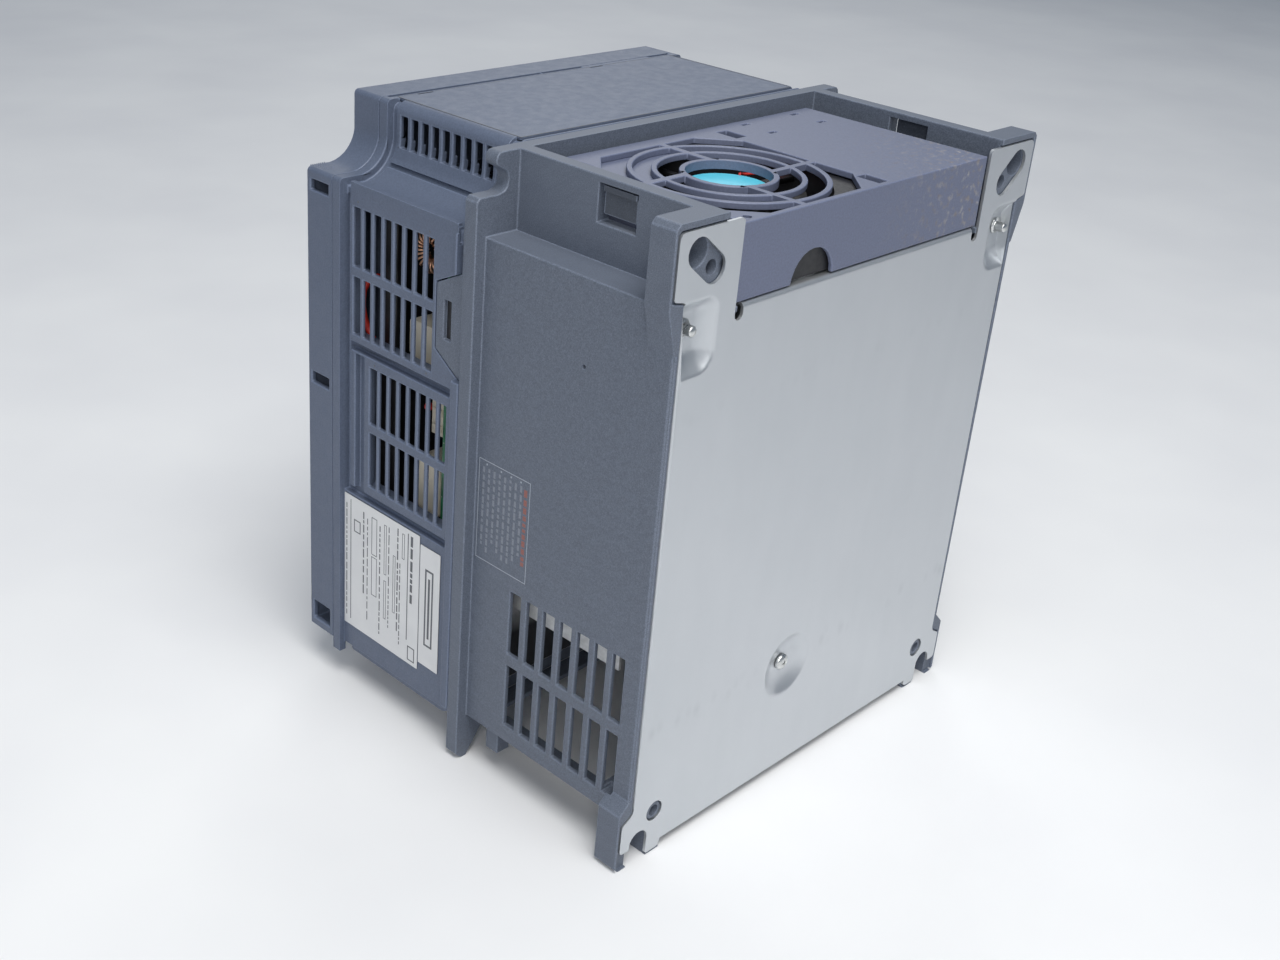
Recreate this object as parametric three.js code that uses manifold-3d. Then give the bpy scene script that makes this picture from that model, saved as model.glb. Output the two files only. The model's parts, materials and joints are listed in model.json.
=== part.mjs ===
// Variable frequency drive for wall or panel mounting, 220 x 260 x 195 mm.
// Millimetres, +Z up, front face towards -Y, mounting plate towards +Y.
// The origin is on the ground under the middle of the drive.
import * as THREE from 'three';
import { mergeVertices } from 'three/addons/utils/BufferGeometryUtils.js';
import Module from 'manifold-3d';

const wasm = await Module();
wasm.setup();

// ---- Driving dimensions ----
const WIDTH = 220;
const HEIGHT = 260;
const DEPTH = 195;
const GAP = 0.4; // clearance between touching mouldings
const SIDE = WIDTH / 2;
const FRONT = -DEPTH / 2;
const REAR = DEPTH / 2;

const COVER_BACK = -80; // parting line of front cover and housing
const COVER_WALL = 2.4;
const COVER_BOTTOM = 19;
const SHOULDER_Z = 232; // height of the two top shoulders
const NECK_SIDE = 86.7; // half width of the narrow top
const SHOULDER_ARC = 14;

const HOUSING_WALL = 3;
const SLAT_THICKNESS = 1.6; // wall left between the side vent slots
const HOUSING_SIDE = 107.5;
const HOUSING_BOTTOM = 18.6;
const HOUSING_TOP_SIDE = 85;
const GROOVE_DEPTH = 3;

const FLANGE_FRONT = -2;
const FLANGE_REAR = 4.5;
const CASE_SIDE = 105;
const CASE_WALL = 2.2;
const CASE_BOTTOM = 21;
const CASE_SHOULDER_Z = 229.5;
const RAIL_INNER = 83.7; // upright walls beside the fan cover
const RAIL_OUTER = 90;
const POST_FRONT = 86;
const DECK_Z = 225.6;

const PLATE_THICKNESS = 1.2;
const PLATE_SIDE = 102.2;
const PLATE_EAR = 108.2;
const PLATE_TOP = 226;
const TAB_INNER = 76;
const TAB_TOP = 257;
const MOUNT_X = 98; // mounting pitch 196
const MOUNT_TOP_Z = 248.8;
const MOUNT_BOTTOM_Z = 9.5;
const MOUNT_R = 5;

const FAN_X = 33.4;
const FAN_Y = 55;
const FAN_HALF = 39.8;
const FAN_TOP = 251.9;
const FAN_BOTTOM = 227;
const FAN_COVER = { x0: -74, x1: 75.5, y0: 8, y1: 97, z0: 226.6, z1: 254.8 };

const COVER_SCREW_X = 0;
const COVER_SCREW_Z = 42;
const LAMP_X = -80; // charge lamp window
const LAMP_Z = 82;
const KEYPAD = { x: 34, z: 166, width: 74, height: 104, front: -96.5, back: -83.2 };

// ---- Materials ----
function surface(color, roughness, metalness = 0) {
  return new THREE.MeshStandardMaterial({ color, roughness, metalness });
}
const MATERIALS = {
  housing: surface('#5b6277', 0.6),
  rearCase: surface('#5f6575', 0.75),
  fanCover: surface('#5f637a', 0.55),
  steelPlate: surface('#c4c9cc', 0.35, 0.9),
  zinc: surface('#cfd2cf', 0.3, 1),
  aluminium: surface('#c9c9c6', 0.4, 1),
  blackPlastic: surface('#1b1c1f', 0.5),
  keypadShell: surface('#3c4254', 0.5),
  display: surface('#1a0d0e', 0.15),
  keyGrey: surface('#a9adb5', 0.5),
  keyGreen: surface('#2f8a57', 0.5),
  keyRed: surface('#b23a34', 0.5),
  label: surface('#e9eaea', 0.6),
  cyanLabel: surface('#5fd3e6', 0.5),
  board: surface('#2c6a45', 0.5),
  cream: surface('#d9d3bf', 0.55),
  capacitor: surface('#2b2f3a', 0.35),
  tape: surface('#d7b13e', 0.45),
  rubber: surface('#232427', 0.85),
  redWire: surface('#c0302b', 0.5),
  copper: surface('#b8764a', 0.35, 1),
  blueRelay: surface('#3667a8', 0.45),
  lamp: surface('#d2402e', 0.25),
};

// ---- Shape helpers ----
const ARC = 1; // curve divisions of a small corner
const SHOULDER = 6; // curve divisions of each arc of the front outline
const ROUND = 12; // curve divisions of a small full circle
const ROUND_FINE = 32; // and of a large one

function outline(points) {
  return new THREE.Shape(points.map(([u, v]) => new THREE.Vector2(u, v)));
}

function rect(u0, u1, v0, v1, r = 0) {
  if (r === 0) return outline([[u0, v0], [u1, v0], [u1, v1], [u0, v1]]);
  const shape = new THREE.Shape();
  shape.absarc(u1 - r, v0 + r, r, -Math.PI / 2, 0);
  shape.absarc(u1 - r, v1 - r, r, 0, Math.PI / 2);
  shape.absarc(u0 + r, v1 - r, r, Math.PI / 2, Math.PI);
  shape.absarc(u0 + r, v0 + r, r, Math.PI, 1.5 * Math.PI);
  shape.closePath();
  return shape;
}

function disc(u, v, r) {
  const shape = new THREE.Shape();
  shape.absarc(u, v, r, 0, 2 * Math.PI);
  return shape;
}

// Solid from a closed mesh geometry.
function solid(geometry) {
  const bare = geometry.clone();
  bare.deleteAttribute('normal');
  bare.deleteAttribute('uv');
  const merged = mergeVertices(bare, 1e-4);
  return new wasm.Manifold(new wasm.Mesh({
    numProp: 3,
    vertProperties: new Float32Array(merged.attributes.position.array),
    triVerts: new Uint32Array(merged.index.array),
  }));
}

// Extrude an outline along a row axis: 'x' reads it as (y, z), 'y' as (x, z) and 'z' as (x, y).
function extrudeGeometry(shape, axis, from, to, divisions = ARC) {
  const options = { depth: to - from, bevelEnabled: false, curveSegments: divisions };
  const geometry = new THREE.ExtrudeGeometry(shape, options);
  if (axis === 'x') return geometry.rotateX(Math.PI / 2).rotateZ(Math.PI / 2).translate(from, 0, 0);
  if (axis === 'y') return geometry.rotateX(Math.PI / 2).translate(0, to, 0);
  return geometry.translate(0, 0, from);
}

function extrude(shape, axis, from, to, divisions = ARC) {
  return solid(extrudeGeometry(shape, axis, from, to, divisions));
}

function box(x0, x1, y0, y1, z0, z1) {
  const geometry = new THREE.BoxGeometry(x1 - x0, y1 - y0, z1 - z0);
  return solid(geometry.translate((x0 + x1) / 2, (y0 + y1) / 2, (z0 + z1) / 2));
}

// The same box on the side given by sign, +1 or -1.
function sideBox(sign, x0, x1, y0, y1, z0, z1) {
  return sign > 0 ? box(x0, x1, y0, y1, z0, z1) : box(-x1, -x0, y0, y1, z0, z1);
}

function rod(axis, u, v, r, from, to, divisions = ROUND) {
  return extrude(disc(u, v, r), axis, from, to, divisions);
}

function join(...solids) {
  return solids.flat().reduce((total, next) => total.add(next));
}

function cut(base, ...tools) {
  return tools.flat().reduce((rest, tool) => rest.subtract(tool), base);
}

function bothSides(make) {
  return [make(1), make(-1)];
}

function range(count) {
  return Array.from({ length: count }, (_, index) => index);
}

const drive = new THREE.Group();

function part(name, body, material) {
  const mesh = body.getMesh();
  const geometry = new THREE.BufferGeometry();
  geometry.setAttribute('position', new THREE.BufferAttribute(mesh.vertProperties, 3));
  geometry.setIndex(new THREE.BufferAttribute(mesh.triVerts, 1));
  geometry.computeVertexNormals();
  const piece = new THREE.Mesh(geometry, material);
  piece.name = name;
  drive.add(piece);
}

// ---- Front outline: wide body, concave shoulders and narrow top ----
function frontOutline(inset, bottom) {
  const side = SIDE - inset;
  const neck = NECK_SIDE - inset;
  const shoulder = SHOULDER_Z - inset;
  const top = HEIGHT - inset;
  const corner = 2;
  const arc = SHOULDER_ARC + inset;
  const shape = new THREE.Shape();
  shape.moveTo(side, bottom);
  shape.lineTo(side, shoulder - corner);
  shape.absarc(side - corner, shoulder - corner, corner, 0, Math.PI / 2);
  shape.absarc(neck + arc, shoulder + arc, arc, 1.5 * Math.PI, Math.PI, true);
  shape.absarc(neck - corner, top - corner, corner, 0, Math.PI / 2);
  shape.absarc(-neck + corner, top - corner, corner, Math.PI / 2, Math.PI);
  shape.absarc(-neck - arc, shoulder + arc, arc, 2 * Math.PI, 1.5 * Math.PI, true);
  shape.absarc(-side + corner, shoulder - corner, corner, Math.PI / 2, Math.PI);
  shape.lineTo(-side, bottom);
  shape.closePath();
  return shape;
}

// ---- Front cover ----
const COVER_SLOTS = [[223, 227.5], [139.5, 144.5], [23, 32]];

function frontCover() {
  const shell = cut(
    extrude(frontOutline(0, COVER_BOTTOM), 'y', FRONT + 1.5, COVER_BACK - GAP / 2, SHOULDER),
    extrude(
      frontOutline(COVER_WALL, COVER_BOTTOM + COVER_WALL), 'y', FRONT + COVER_WALL, 0, SHOULDER,
    ),
  );
  const face = extrude(frontOutline(1.5, COVER_BOTTOM + 1.5), 'y', FRONT, FRONT + 1.6, SHOULDER);
  const keypad = rect(
    KEYPAD.x - KEYPAD.width / 2 - 0.8, KEYPAD.x + KEYPAD.width / 2 + 0.8,
    KEYPAD.z - KEYPAD.height / 2 - 0.8, KEYPAD.z + KEYPAD.height / 2 + 0.8, 3,
  );
  const keypadFrame = rect(
    KEYPAD.x - KEYPAD.width / 2 - 3, KEYPAD.x + KEYPAD.width / 2 + 3,
    KEYPAD.z - KEYPAD.height / 2 - 3, KEYPAD.z + KEYPAD.height / 2 + 3, 4,
  );
  const slots = COVER_SLOTS.flatMap(([z0, z1]) => bothSides(
    (sign) => sideBox(sign, SIDE - 4, SIDE + 1, FRONT + 3.5, COVER_BACK - 2.5, z0, z1),
  ));
  const screwHole = rod('y', COVER_SCREW_X, COVER_SCREW_Z, 2.6, FRONT - 1, 0);
  const screwWell = rod('y', COVER_SCREW_X, COVER_SCREW_Z, 5.2, FRONT - 1, FRONT + 6.4);
  const screwBoss = rod('y', COVER_SCREW_X, COVER_SCREW_Z, 7, FRONT + 1, FRONT + 8.4);
  const stepLine = box(-SIDE - 1, SIDE + 1, FRONT - 1, FRONT + 0.9, 97.4, 98.6);
  const labelRecess = extrude(rect(-92, -24, 150, 205, 3), 'y', FRONT - 1, FRONT + 0.7);
  const lampHole = rod('y', LAMP_X, LAMP_Z, 3, FRONT - 1, FRONT + 4);
  const body = join(
    shell,
    face,
    extrude(keypadFrame, 'y', FRONT + 1, COVER_BACK - 4),
    screwBoss,
  );
  return cut(
    body,
    extrude(keypad, 'y', FRONT - 1, 0),
    slots,
    screwHole,
    screwWell,
    stepLine,
    labelRecess,
    lampHole,
  );
}

function coverScrew() {
  const head = rod('y', COVER_SCREW_X, COVER_SCREW_Z, 4.6, FRONT + 3, FRONT + 6.1);
  const shank = rod('y', COVER_SCREW_X, COVER_SCREW_Z, 2, FRONT + 6, COVER_BACK + 8);
  const slot = box(-0.6, 0.6, FRONT, FRONT + 4.2, COVER_SCREW_Z - 5, COVER_SCREW_Z + 5);
  return cut(join(head, shank), slot);
}

// ---- Keypad ----
const KEY_TRAVEL = 0.8;
const KEYS = [
  { name: 'key_program', x: -24, z: -20, w: 15, h: 8, material: 'keyGrey' },
  { name: 'key_up', x: 0, z: -16, w: 15, h: 8, material: 'keyGrey' },
  { name: 'key_run', x: 24, z: -20, w: 15, h: 11, material: 'keyGreen' },
  { name: 'key_enter', x: -24, z: -38, w: 15, h: 8, material: 'keyGrey' },
  { name: 'key_shift', x: 0, z: -28.5, w: 15, h: 8, material: 'keyGrey' },
  { name: 'key_down', x: 0, z: -41, w: 15, h: 8, material: 'keyGrey' },
  { name: 'key_stop', x: 24, z: -38, w: 15, h: 11, material: 'keyRed' },
];
const WINDOW = { w: 60, h: 42, z: 22 };

function keyOutline(key, extra) {
  const x = KEYPAD.x + key.x;
  const z = KEYPAD.z + key.z;
  const halfW = key.w / 2 + extra;
  const halfH = key.h / 2 + extra;
  return rect(x - halfW, x + halfW, z - halfH, z + halfH, 2);
}

function keypadBody() {
  const halfW = KEYPAD.width / 2;
  const halfH = KEYPAD.height / 2;
  const wholeOutline = rect(
    KEYPAD.x - halfW, KEYPAD.x + halfW, KEYPAD.z - halfH, KEYPAD.z + halfH, 2.5,
  );
  const windowSeat = rect(
    KEYPAD.x - WINDOW.w / 2 - GAP, KEYPAD.x + WINDOW.w / 2 + GAP,
    KEYPAD.z + WINDOW.z - WINDOW.h / 2 - GAP, KEYPAD.z + WINDOW.z + WINDOW.h / 2 + GAP, 2,
  );
  const hollow = rect(
    KEYPAD.x - halfW + 2, KEYPAD.x + halfW - 2, KEYPAD.z - halfH + 2, KEYPAD.z + halfH - 2, 1,
  );
  return cut(
    extrude(wholeOutline, 'y', KEYPAD.front, KEYPAD.back),
    extrude(windowSeat, 'y', KEYPAD.front - 1, KEYPAD.front + 1.6),
    extrude(hollow, 'y', KEYPAD.front + 3.6, KEYPAD.back + 1),
    KEYS.map((key) => extrude(keyOutline(key, GAP), 'y', KEYPAD.front - 1, KEYPAD.front + 5)),
  );
}

function keypadWindow() {
  const shape = rect(
    KEYPAD.x - WINDOW.w / 2, KEYPAD.x + WINDOW.w / 2,
    KEYPAD.z + WINDOW.z - WINDOW.h / 2, KEYPAD.z + WINDOW.z + WINDOW.h / 2, 1.6,
  );
  return extrude(shape, 'y', KEYPAD.front + 0.2, KEYPAD.front + 1.3);
}

function key(entry) {
  const cap = extrude(keyOutline(entry, 0), 'y', KEYPAD.front - 1, KEYPAD.front + 3.6 + 0.6);
  const foot = extrude(keyOutline(entry, 1.2), 'y', KEYPAD.front + 4, KEYPAD.front + 5.2);
  return join(cap, foot);
}

// ---- Front housing ----
const VENT_BLOCKS = [
  { y0: -69.6, count: 8, pitch: 6.3, width: 4.3, rows: [[197.5, 222], [168.6, 193.2]] },
  { y0: -58.6, count: 8, pitch: 6.1, width: 4.3, rows: [[132.3, 157.3], [103.4, 128.2]] },
];
const NECK_VENTS = { y0: -68.8, count: 10, pitch: 6.2, width: 4.3, z0: 242, z1: 254.8 };
const LUG = [[-5.2, 231.4], [-5.2, 213], [-18.8, 206], [-18.8, 179.6], [-5.2, 170.8]];

const NECK_EDGE_R = 4.5;
const LEDGE_ARC = SHOULDER_ARC + NECK_SIDE - HOUSING_TOP_SIDE;
const LEDGE_Z = SHOULDER_Z + SHOULDER_ARC - LEDGE_ARC;
const RELIEF = { depth: 1.6, z: LEDGE_Z - 6, front: [-75, -71.2], rear: [-7.6, -3.4] };
const RUNNEL = { from: 38, to: 45 }; // degrees down the neck's concave foot

// Housing outline: it follows the front outline, set in behind the frame rib.
function housingSection(inset, bottom) {
  const side = HOUSING_SIDE - inset;
  const neck = HOUSING_TOP_SIDE - inset;
  const top = HEIGHT - inset;
  const ledge = LEDGE_Z - inset;
  const r = NECK_EDGE_R - inset;
  const arc = LEDGE_ARC + inset;
  const shape = new THREE.Shape();
  shape.moveTo(-side, bottom);
  shape.lineTo(side, bottom);
  shape.lineTo(side, ledge);
  shape.absarc(neck + arc, ledge + arc, arc, 1.5 * Math.PI, Math.PI, true);
  shape.absarc(neck - r, top - r, r, 0, Math.PI / 2);
  shape.absarc(-neck + r, top - r, r, Math.PI / 2, Math.PI);
  shape.absarc(-neck - arc, ledge + arc, arc, 2 * Math.PI, 1.5 * Math.PI, true);
  shape.lineTo(-side, ledge);
  shape.closePath();
  return shape;
}

// Relief groove that runs over the neck and both shoulders.
function reliefGroove([y0, y1]) {
  const outside = extrude(housingSection(-1, RELIEF.z), 'y', y0, y1, SHOULDER);
  return outside.subtract(extrude(housingSection(RELIEF.depth, 0), 'y', y0 - 1, y1 + 1, SHOULDER));
}

// Narrow groove along the concave foot of the neck wall.
function footGroove(sign) {
  const rise = (degrees, r) => {
    const angle = (degrees * Math.PI) / 180;
    return [
      sign * (HOUSING_TOP_SIDE + LEDGE_ARC - r * Math.cos(angle)), LEDGE_Z + LEDGE_ARC - r * Math.sin(angle),
    ];
  };
  const { from, to } = RUNNEL;
  const deep = LEDGE_ARC + 1.6;
  const shape = outline([
    rise(from, LEDGE_ARC - 1), rise(to, LEDGE_ARC - 1), rise(to, deep), rise(from, deep),
  ]);
  return extrude(shape, 'y', RELIEF.front[1], RELIEF.rear[0]);
}

// Rectangular vent slots through the side wall on one side.
function sideVents(sign) {
  return VENT_BLOCKS.flatMap((block) => block.rows.flatMap(([z0, z1]) => range(block.count).map(
    (index) => {
      const y = block.y0 + index * block.pitch;
      return sideBox(sign, HOUSING_SIDE - 8, HOUSING_SIDE + 1, y, y + block.width, z0, z1);
    },
  )));
}

// Rooms behind the vent rows that thin the wall to the slats' thickness.
function slatRooms(sign) {
  const side = VENT_BLOCKS.flatMap((block) => block.rows.map(([z0, z1]) => sideBox(
    sign, 100, HOUSING_SIDE - SLAT_THICKNESS, block.y0 - 0.6,
    block.y0 + (block.count - 1) * block.pitch + block.width + 0.6, z0 - 1, z1 + 1,
  )));
  const { y0, count, pitch, width, z1 } = NECK_VENTS;
  const neckEnd = y0 + (count - 1) * pitch + width;
  const neck = sideBox(
    sign, 78, HOUSING_TOP_SIDE - SLAT_THICKNESS, y0 - 0.6, neckEnd + 0.6, 246, z1 + 0.8,
  );
  return [...side, neck];
}

function neckVents(sign) {
  return range(NECK_VENTS.count).map((index) => {
    const y = NECK_VENTS.y0 + index * NECK_VENTS.pitch;
    return sideBox(
      sign, HOUSING_TOP_SIDE - 8, HOUSING_TOP_SIDE + 1,
      y, y + NECK_VENTS.width, NECK_VENTS.z0, NECK_VENTS.z1,
    );
  });
}

// Grooves that part the side wall into raised panels.
function sideGrooves(sign) {
  const deep = HOUSING_SIDE - GROOVE_DEPTH;
  const out = HOUSING_SIDE + 1;
  return [
    sideBox(sign, deep, out, -75, -71, 99, 226),
    sideBox(sign, deep, out, -68, -62, 99, 160.5),
    sideBox(sign, deep, out, -75, -10, 161.5, 165.2),
    sideBox(sign, deep, out, -75, -10, 95.4, 99),
  ];
}

function frontHousing() {
  const wall = HOUSING_WALL;
  const back = FLANGE_FRONT - GAP;
  const ribFront = COVER_BACK + GAP / 2;
  const shell = extrude(housingSection(0, HOUSING_BOTTOM), 'y', ribFront, back, SHOULDER);
  const rim = extrude(frontOutline(0, 13.6), 'y', ribFront, -75, SHOULDER);
  const underRim = box(-106.5, 106.5, ribFront - 1, -70, 0, HOUSING_BOTTOM);
  const backBand = bothSides((sign) => sideBox(sign, 100, SIDE, -6.6, back, 22, 229));
  const grooveBacking = bothSides((sign) => join(
    sideBox(sign, 101, 105, -78, -8, 158, 168.2),
    sideBox(sign, 101, 105, -78, -8, 93, 102.8),
    sideBox(sign, 103, 105, -78, -60, 94, 229),
  ));
  const ledgeRib = bothSides((sign) => sideBox(
    sign, 105.2, HOUSING_SIDE, RELIEF.front[1], -8, LEDGE_Z - 1.5, LEDGE_Z + 1.4,
  ));
  const hollow = extrude(housingSection(wall, 0), 'y', ribFront - 1, back + 1, SHOULDER);
  const bottomRail = box(-104, 104, ribFront, -70, HOUSING_BOTTOM, 24);
  const screwPillar = cut(
    box(-7, 7, ribFront, -71, 22, COVER_SCREW_Z + 7),
    rod('y', COVER_SCREW_X, COVER_SCREW_Z, 2.3, ribFront - 1, -70, 6),
  );
  const bodySolid = join(
    cut(join(shell, rim), hollow),
    cut(backBand[0], box(0, 104.4, -7, 0, 20, 232)),
    cut(backBand[1], box(-104.4, 0, -7, 0, 20, 232)),
    ledgeRib,
    grooveBacking,
    bottomRail,
    screwPillar,
  );
  const { side, y0, y1 } = TOP_PANEL;
  const panelRecess = extrude(
    rect(-side - GAP, side + GAP, y0 - GAP, y1 + GAP, 1), 'z', HEIGHT - 1.6, HEIGHT + 1,
  );
  const lipSteps = LIP_STEPS.map(([x0, x1, drop]) => box(
    x0, x1, ribFront - 1, ribFront + 1.7, HEIGHT - drop, HEIGHT + 1,
  ));
  const lugRoom = bothSides((sign) => {
    const x0 = sign > 0 ? 99 : -111;
    return extrude(outline(growLug(GAP)), 'x', x0, x0 + 12);
  });
  const tray = box(-105, 105, ribFront, back, HOUSING_BOTTOM, HOUSING_BOTTOM + 2);
  const cableWindow = box(-98, 98, -66, -12, 0, HOUSING_BOTTOM + 6);
  return cut(
    join(cut(bodySolid, underRim), cut(tray, cableWindow)),
    panelRecess,
    lugRoom,
    bothSides(sideVents).flat(),
    bothSides(neckVents).flat(),
    bothSides(slatRooms).flat(),
    bothSides(sideGrooves).flat(),
    lipSteps,
    [RELIEF.front, RELIEF.rear].map(reliefGroove),
    bothSides(footGroove),
  );
}

// Lug outline grown by a clearance, with its rear edge run past the flange.
function growLug(gap) {
  return [
    [FLANGE_FRONT + 1, 231.4 + gap], [LUG[0][0] - gap, 231.4 + gap], [LUG[1][0] - gap, LUG[1][1]],
    [LUG[2][0] - gap, LUG[2][1] + gap], [LUG[3][0] - gap, LUG[3][1] - gap],
    [LUG[4][0] - gap, LUG[4][1] - gap], [FLANGE_FRONT + 1, LUG[4][1] - gap],
  ];
}

// Lower stretches of the housing's front top edge, from x0 to x1, behind the cover's top lip.
const LIP_STEPS = [[0, 83, 1.3], [-25, -0.6, 0.7], [-82, -68, 0.7]];
const TOP_PANEL = { side: 80, y0: -77, y1: -6 };
const PANEL_NOTCHES = [[62.3, 70.3], [-35.6, -27.8]];

function topPanel() {
  const { side, y0, y1 } = TOP_PANEL;
  const notches = PANEL_NOTCHES.map(([x0, x1]) => box(x0, x1, y0 - 1, y0 + 1.1, HEIGHT - 0.7, HEIGHT + 1));
  return cut(extrude(rect(-side, side, y0, y1, 1), 'z', HEIGHT - 1.3, HEIGHT), notches);
}

// ---- Wiring guide under the housing, with three rubber grommets ----
const GUIDE = { side: 105.6, y0: -74, y1: -8, z0: 14.8, z1: 18.2 };
const GROMMETS = [{ x: -62, r: 17 }, { x: 0, r: 17 }, { x: 62, r: 17 }];
const GROMMET_Y = -39;

function wiringGuide() {
  const base = extrude(rect(-GUIDE.side, GUIDE.side, GUIDE.y0, GUIDE.y1, 3), 'z', GUIDE.z0, GUIDE.z1);
  const holes = GROMMETS.map(({ x, r }) => rod('z', x, GROMMET_Y, r, 0, 30));
  const pull = box(-14, 14, GUIDE.y0 - 1, GUIDE.y0 + 4, GUIDE.z0 - 1, GUIDE.z0 + 1.4);
  return cut(base, holes, pull);
}

function grommet({ x, r }) {
  const neck = rod('z', x, GROMMET_Y, r - GAP, GUIDE.z0 - 2.5, GUIDE.z1);
  const flare = rod('z', x, GROMMET_Y, r + 2.5, GUIDE.z0 - 3.5, GUIDE.z0 - GAP);
  const bore = rod('z', x, GROMMET_Y, r - 4, 0, 30);
  return cut(join(neck, flare), bore);
}

// ---- Rear case with the panel-mounting flange ----
const CASE_VENTS = { y0: 26.8, count: 7, pitch: 9.25, width: 6, rows: [[28.5, 57.3], [62.7, 91.4]] };

// Flange outline with a finger hollow under each top end and a foot at each bottom corner.
function flangeOutline() {
  const half = (s) => {
    const path = new THREE.Path();
    path.moveTo(s * 96, 24);
    path.lineTo(s * 96, 12);
    path.lineTo(s * 104, 0);
    path.lineTo(s * 107, 0);
    path.lineTo(s * SIDE, 3);
    path.lineTo(s * SIDE, 243);
    path.lineTo(s * (SIDE - 1.5), 244.5);
    path.lineTo(s * 99.5, 244.5);
    path.quadraticCurveTo(s * 95, 245, s * 95, 249.3);
    path.quadraticCurveTo(s * 95.2, 252.6, s * 98.4, 253.8);
    path.quadraticCurveTo(s * 101.4, 254.8, s * 101.4, 257);
    path.quadraticCurveTo(s * 101.2, 260, s * 98, 260);
    return path.getPoints(3);
  };
  const right = half(1);
  const left = half(-1).reverse();
  return new THREE.Shape([...right, ...left]);
}

function caseVents(sign) {
  return CASE_VENTS.rows.flatMap(([z0, z1]) => range(CASE_VENTS.count).map((index) => {
    const y = CASE_VENTS.y0 + index * CASE_VENTS.pitch;
    return sideBox(sign, CASE_SIDE - 6, CASE_SIDE + 1, y, y + CASE_VENTS.width, z0, z1);
  }));
}

// Wedge that takes the rear outer edge off each side wall.
function rimChamfer(sign) {
  const size = 1.6;
  const edge = outline([
    [CASE_SIDE - size, REAR + 0.5], [CASE_SIDE + 0.5, REAR + 0.5], [CASE_SIDE + 0.5, REAR - size],
  ].map(([x, y]) => [sign * x, y]));
  return extrude(edge, 'z', 32, 214);
}

// Corner post beside the fan cover, flaring back to the side wall at its foot.
function cornerPost(sign) {
  const points = [
    [RAIL_INNER, DECK_Z - 3], [102, DECK_Z - 3], [102, 214], [CASE_SIDE, 214],
    [SIDE, 231], [SIDE, HEIGHT - 2], [SIDE - 2, HEIGHT], [RAIL_INNER, HEIGHT],
  ];
  const post = extrude(outline(points.map(([x, z]) => [sign * x, z])), 'y', POST_FRONT, REAR - 0.2);
  return cut(post, rod('y', sign * MOUNT_X, MOUNT_TOP_Z, MOUNT_R + 0.6, POST_FRONT - 1, REAR + 1, 20));
}

// Foot at a rear bottom corner.
function rearFoot(sign) {
  const points = [
    [CASE_SIDE, 32], [SIDE, 27], [SIDE, 2], [SIDE - 2, 0], [85, 0],
    [85, CASE_BOTTOM + 1], [CASE_SIDE - CASE_WALL - 1, CASE_BOTTOM + 1], [CASE_SIDE - CASE_WALL - 1, 32],
  ];
  const foot = extrude(outline(points.map(([x, z]) => [sign * x, z])), 'y', POST_FRONT, REAR - 0.2);
  const notch = sideBox(sign, 92.6, 103.6, POST_FRONT - 1, REAR + 1, -1, MOUNT_BOTTOM_Z + MOUNT_R);
  return cut(foot, notch);
}

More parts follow.
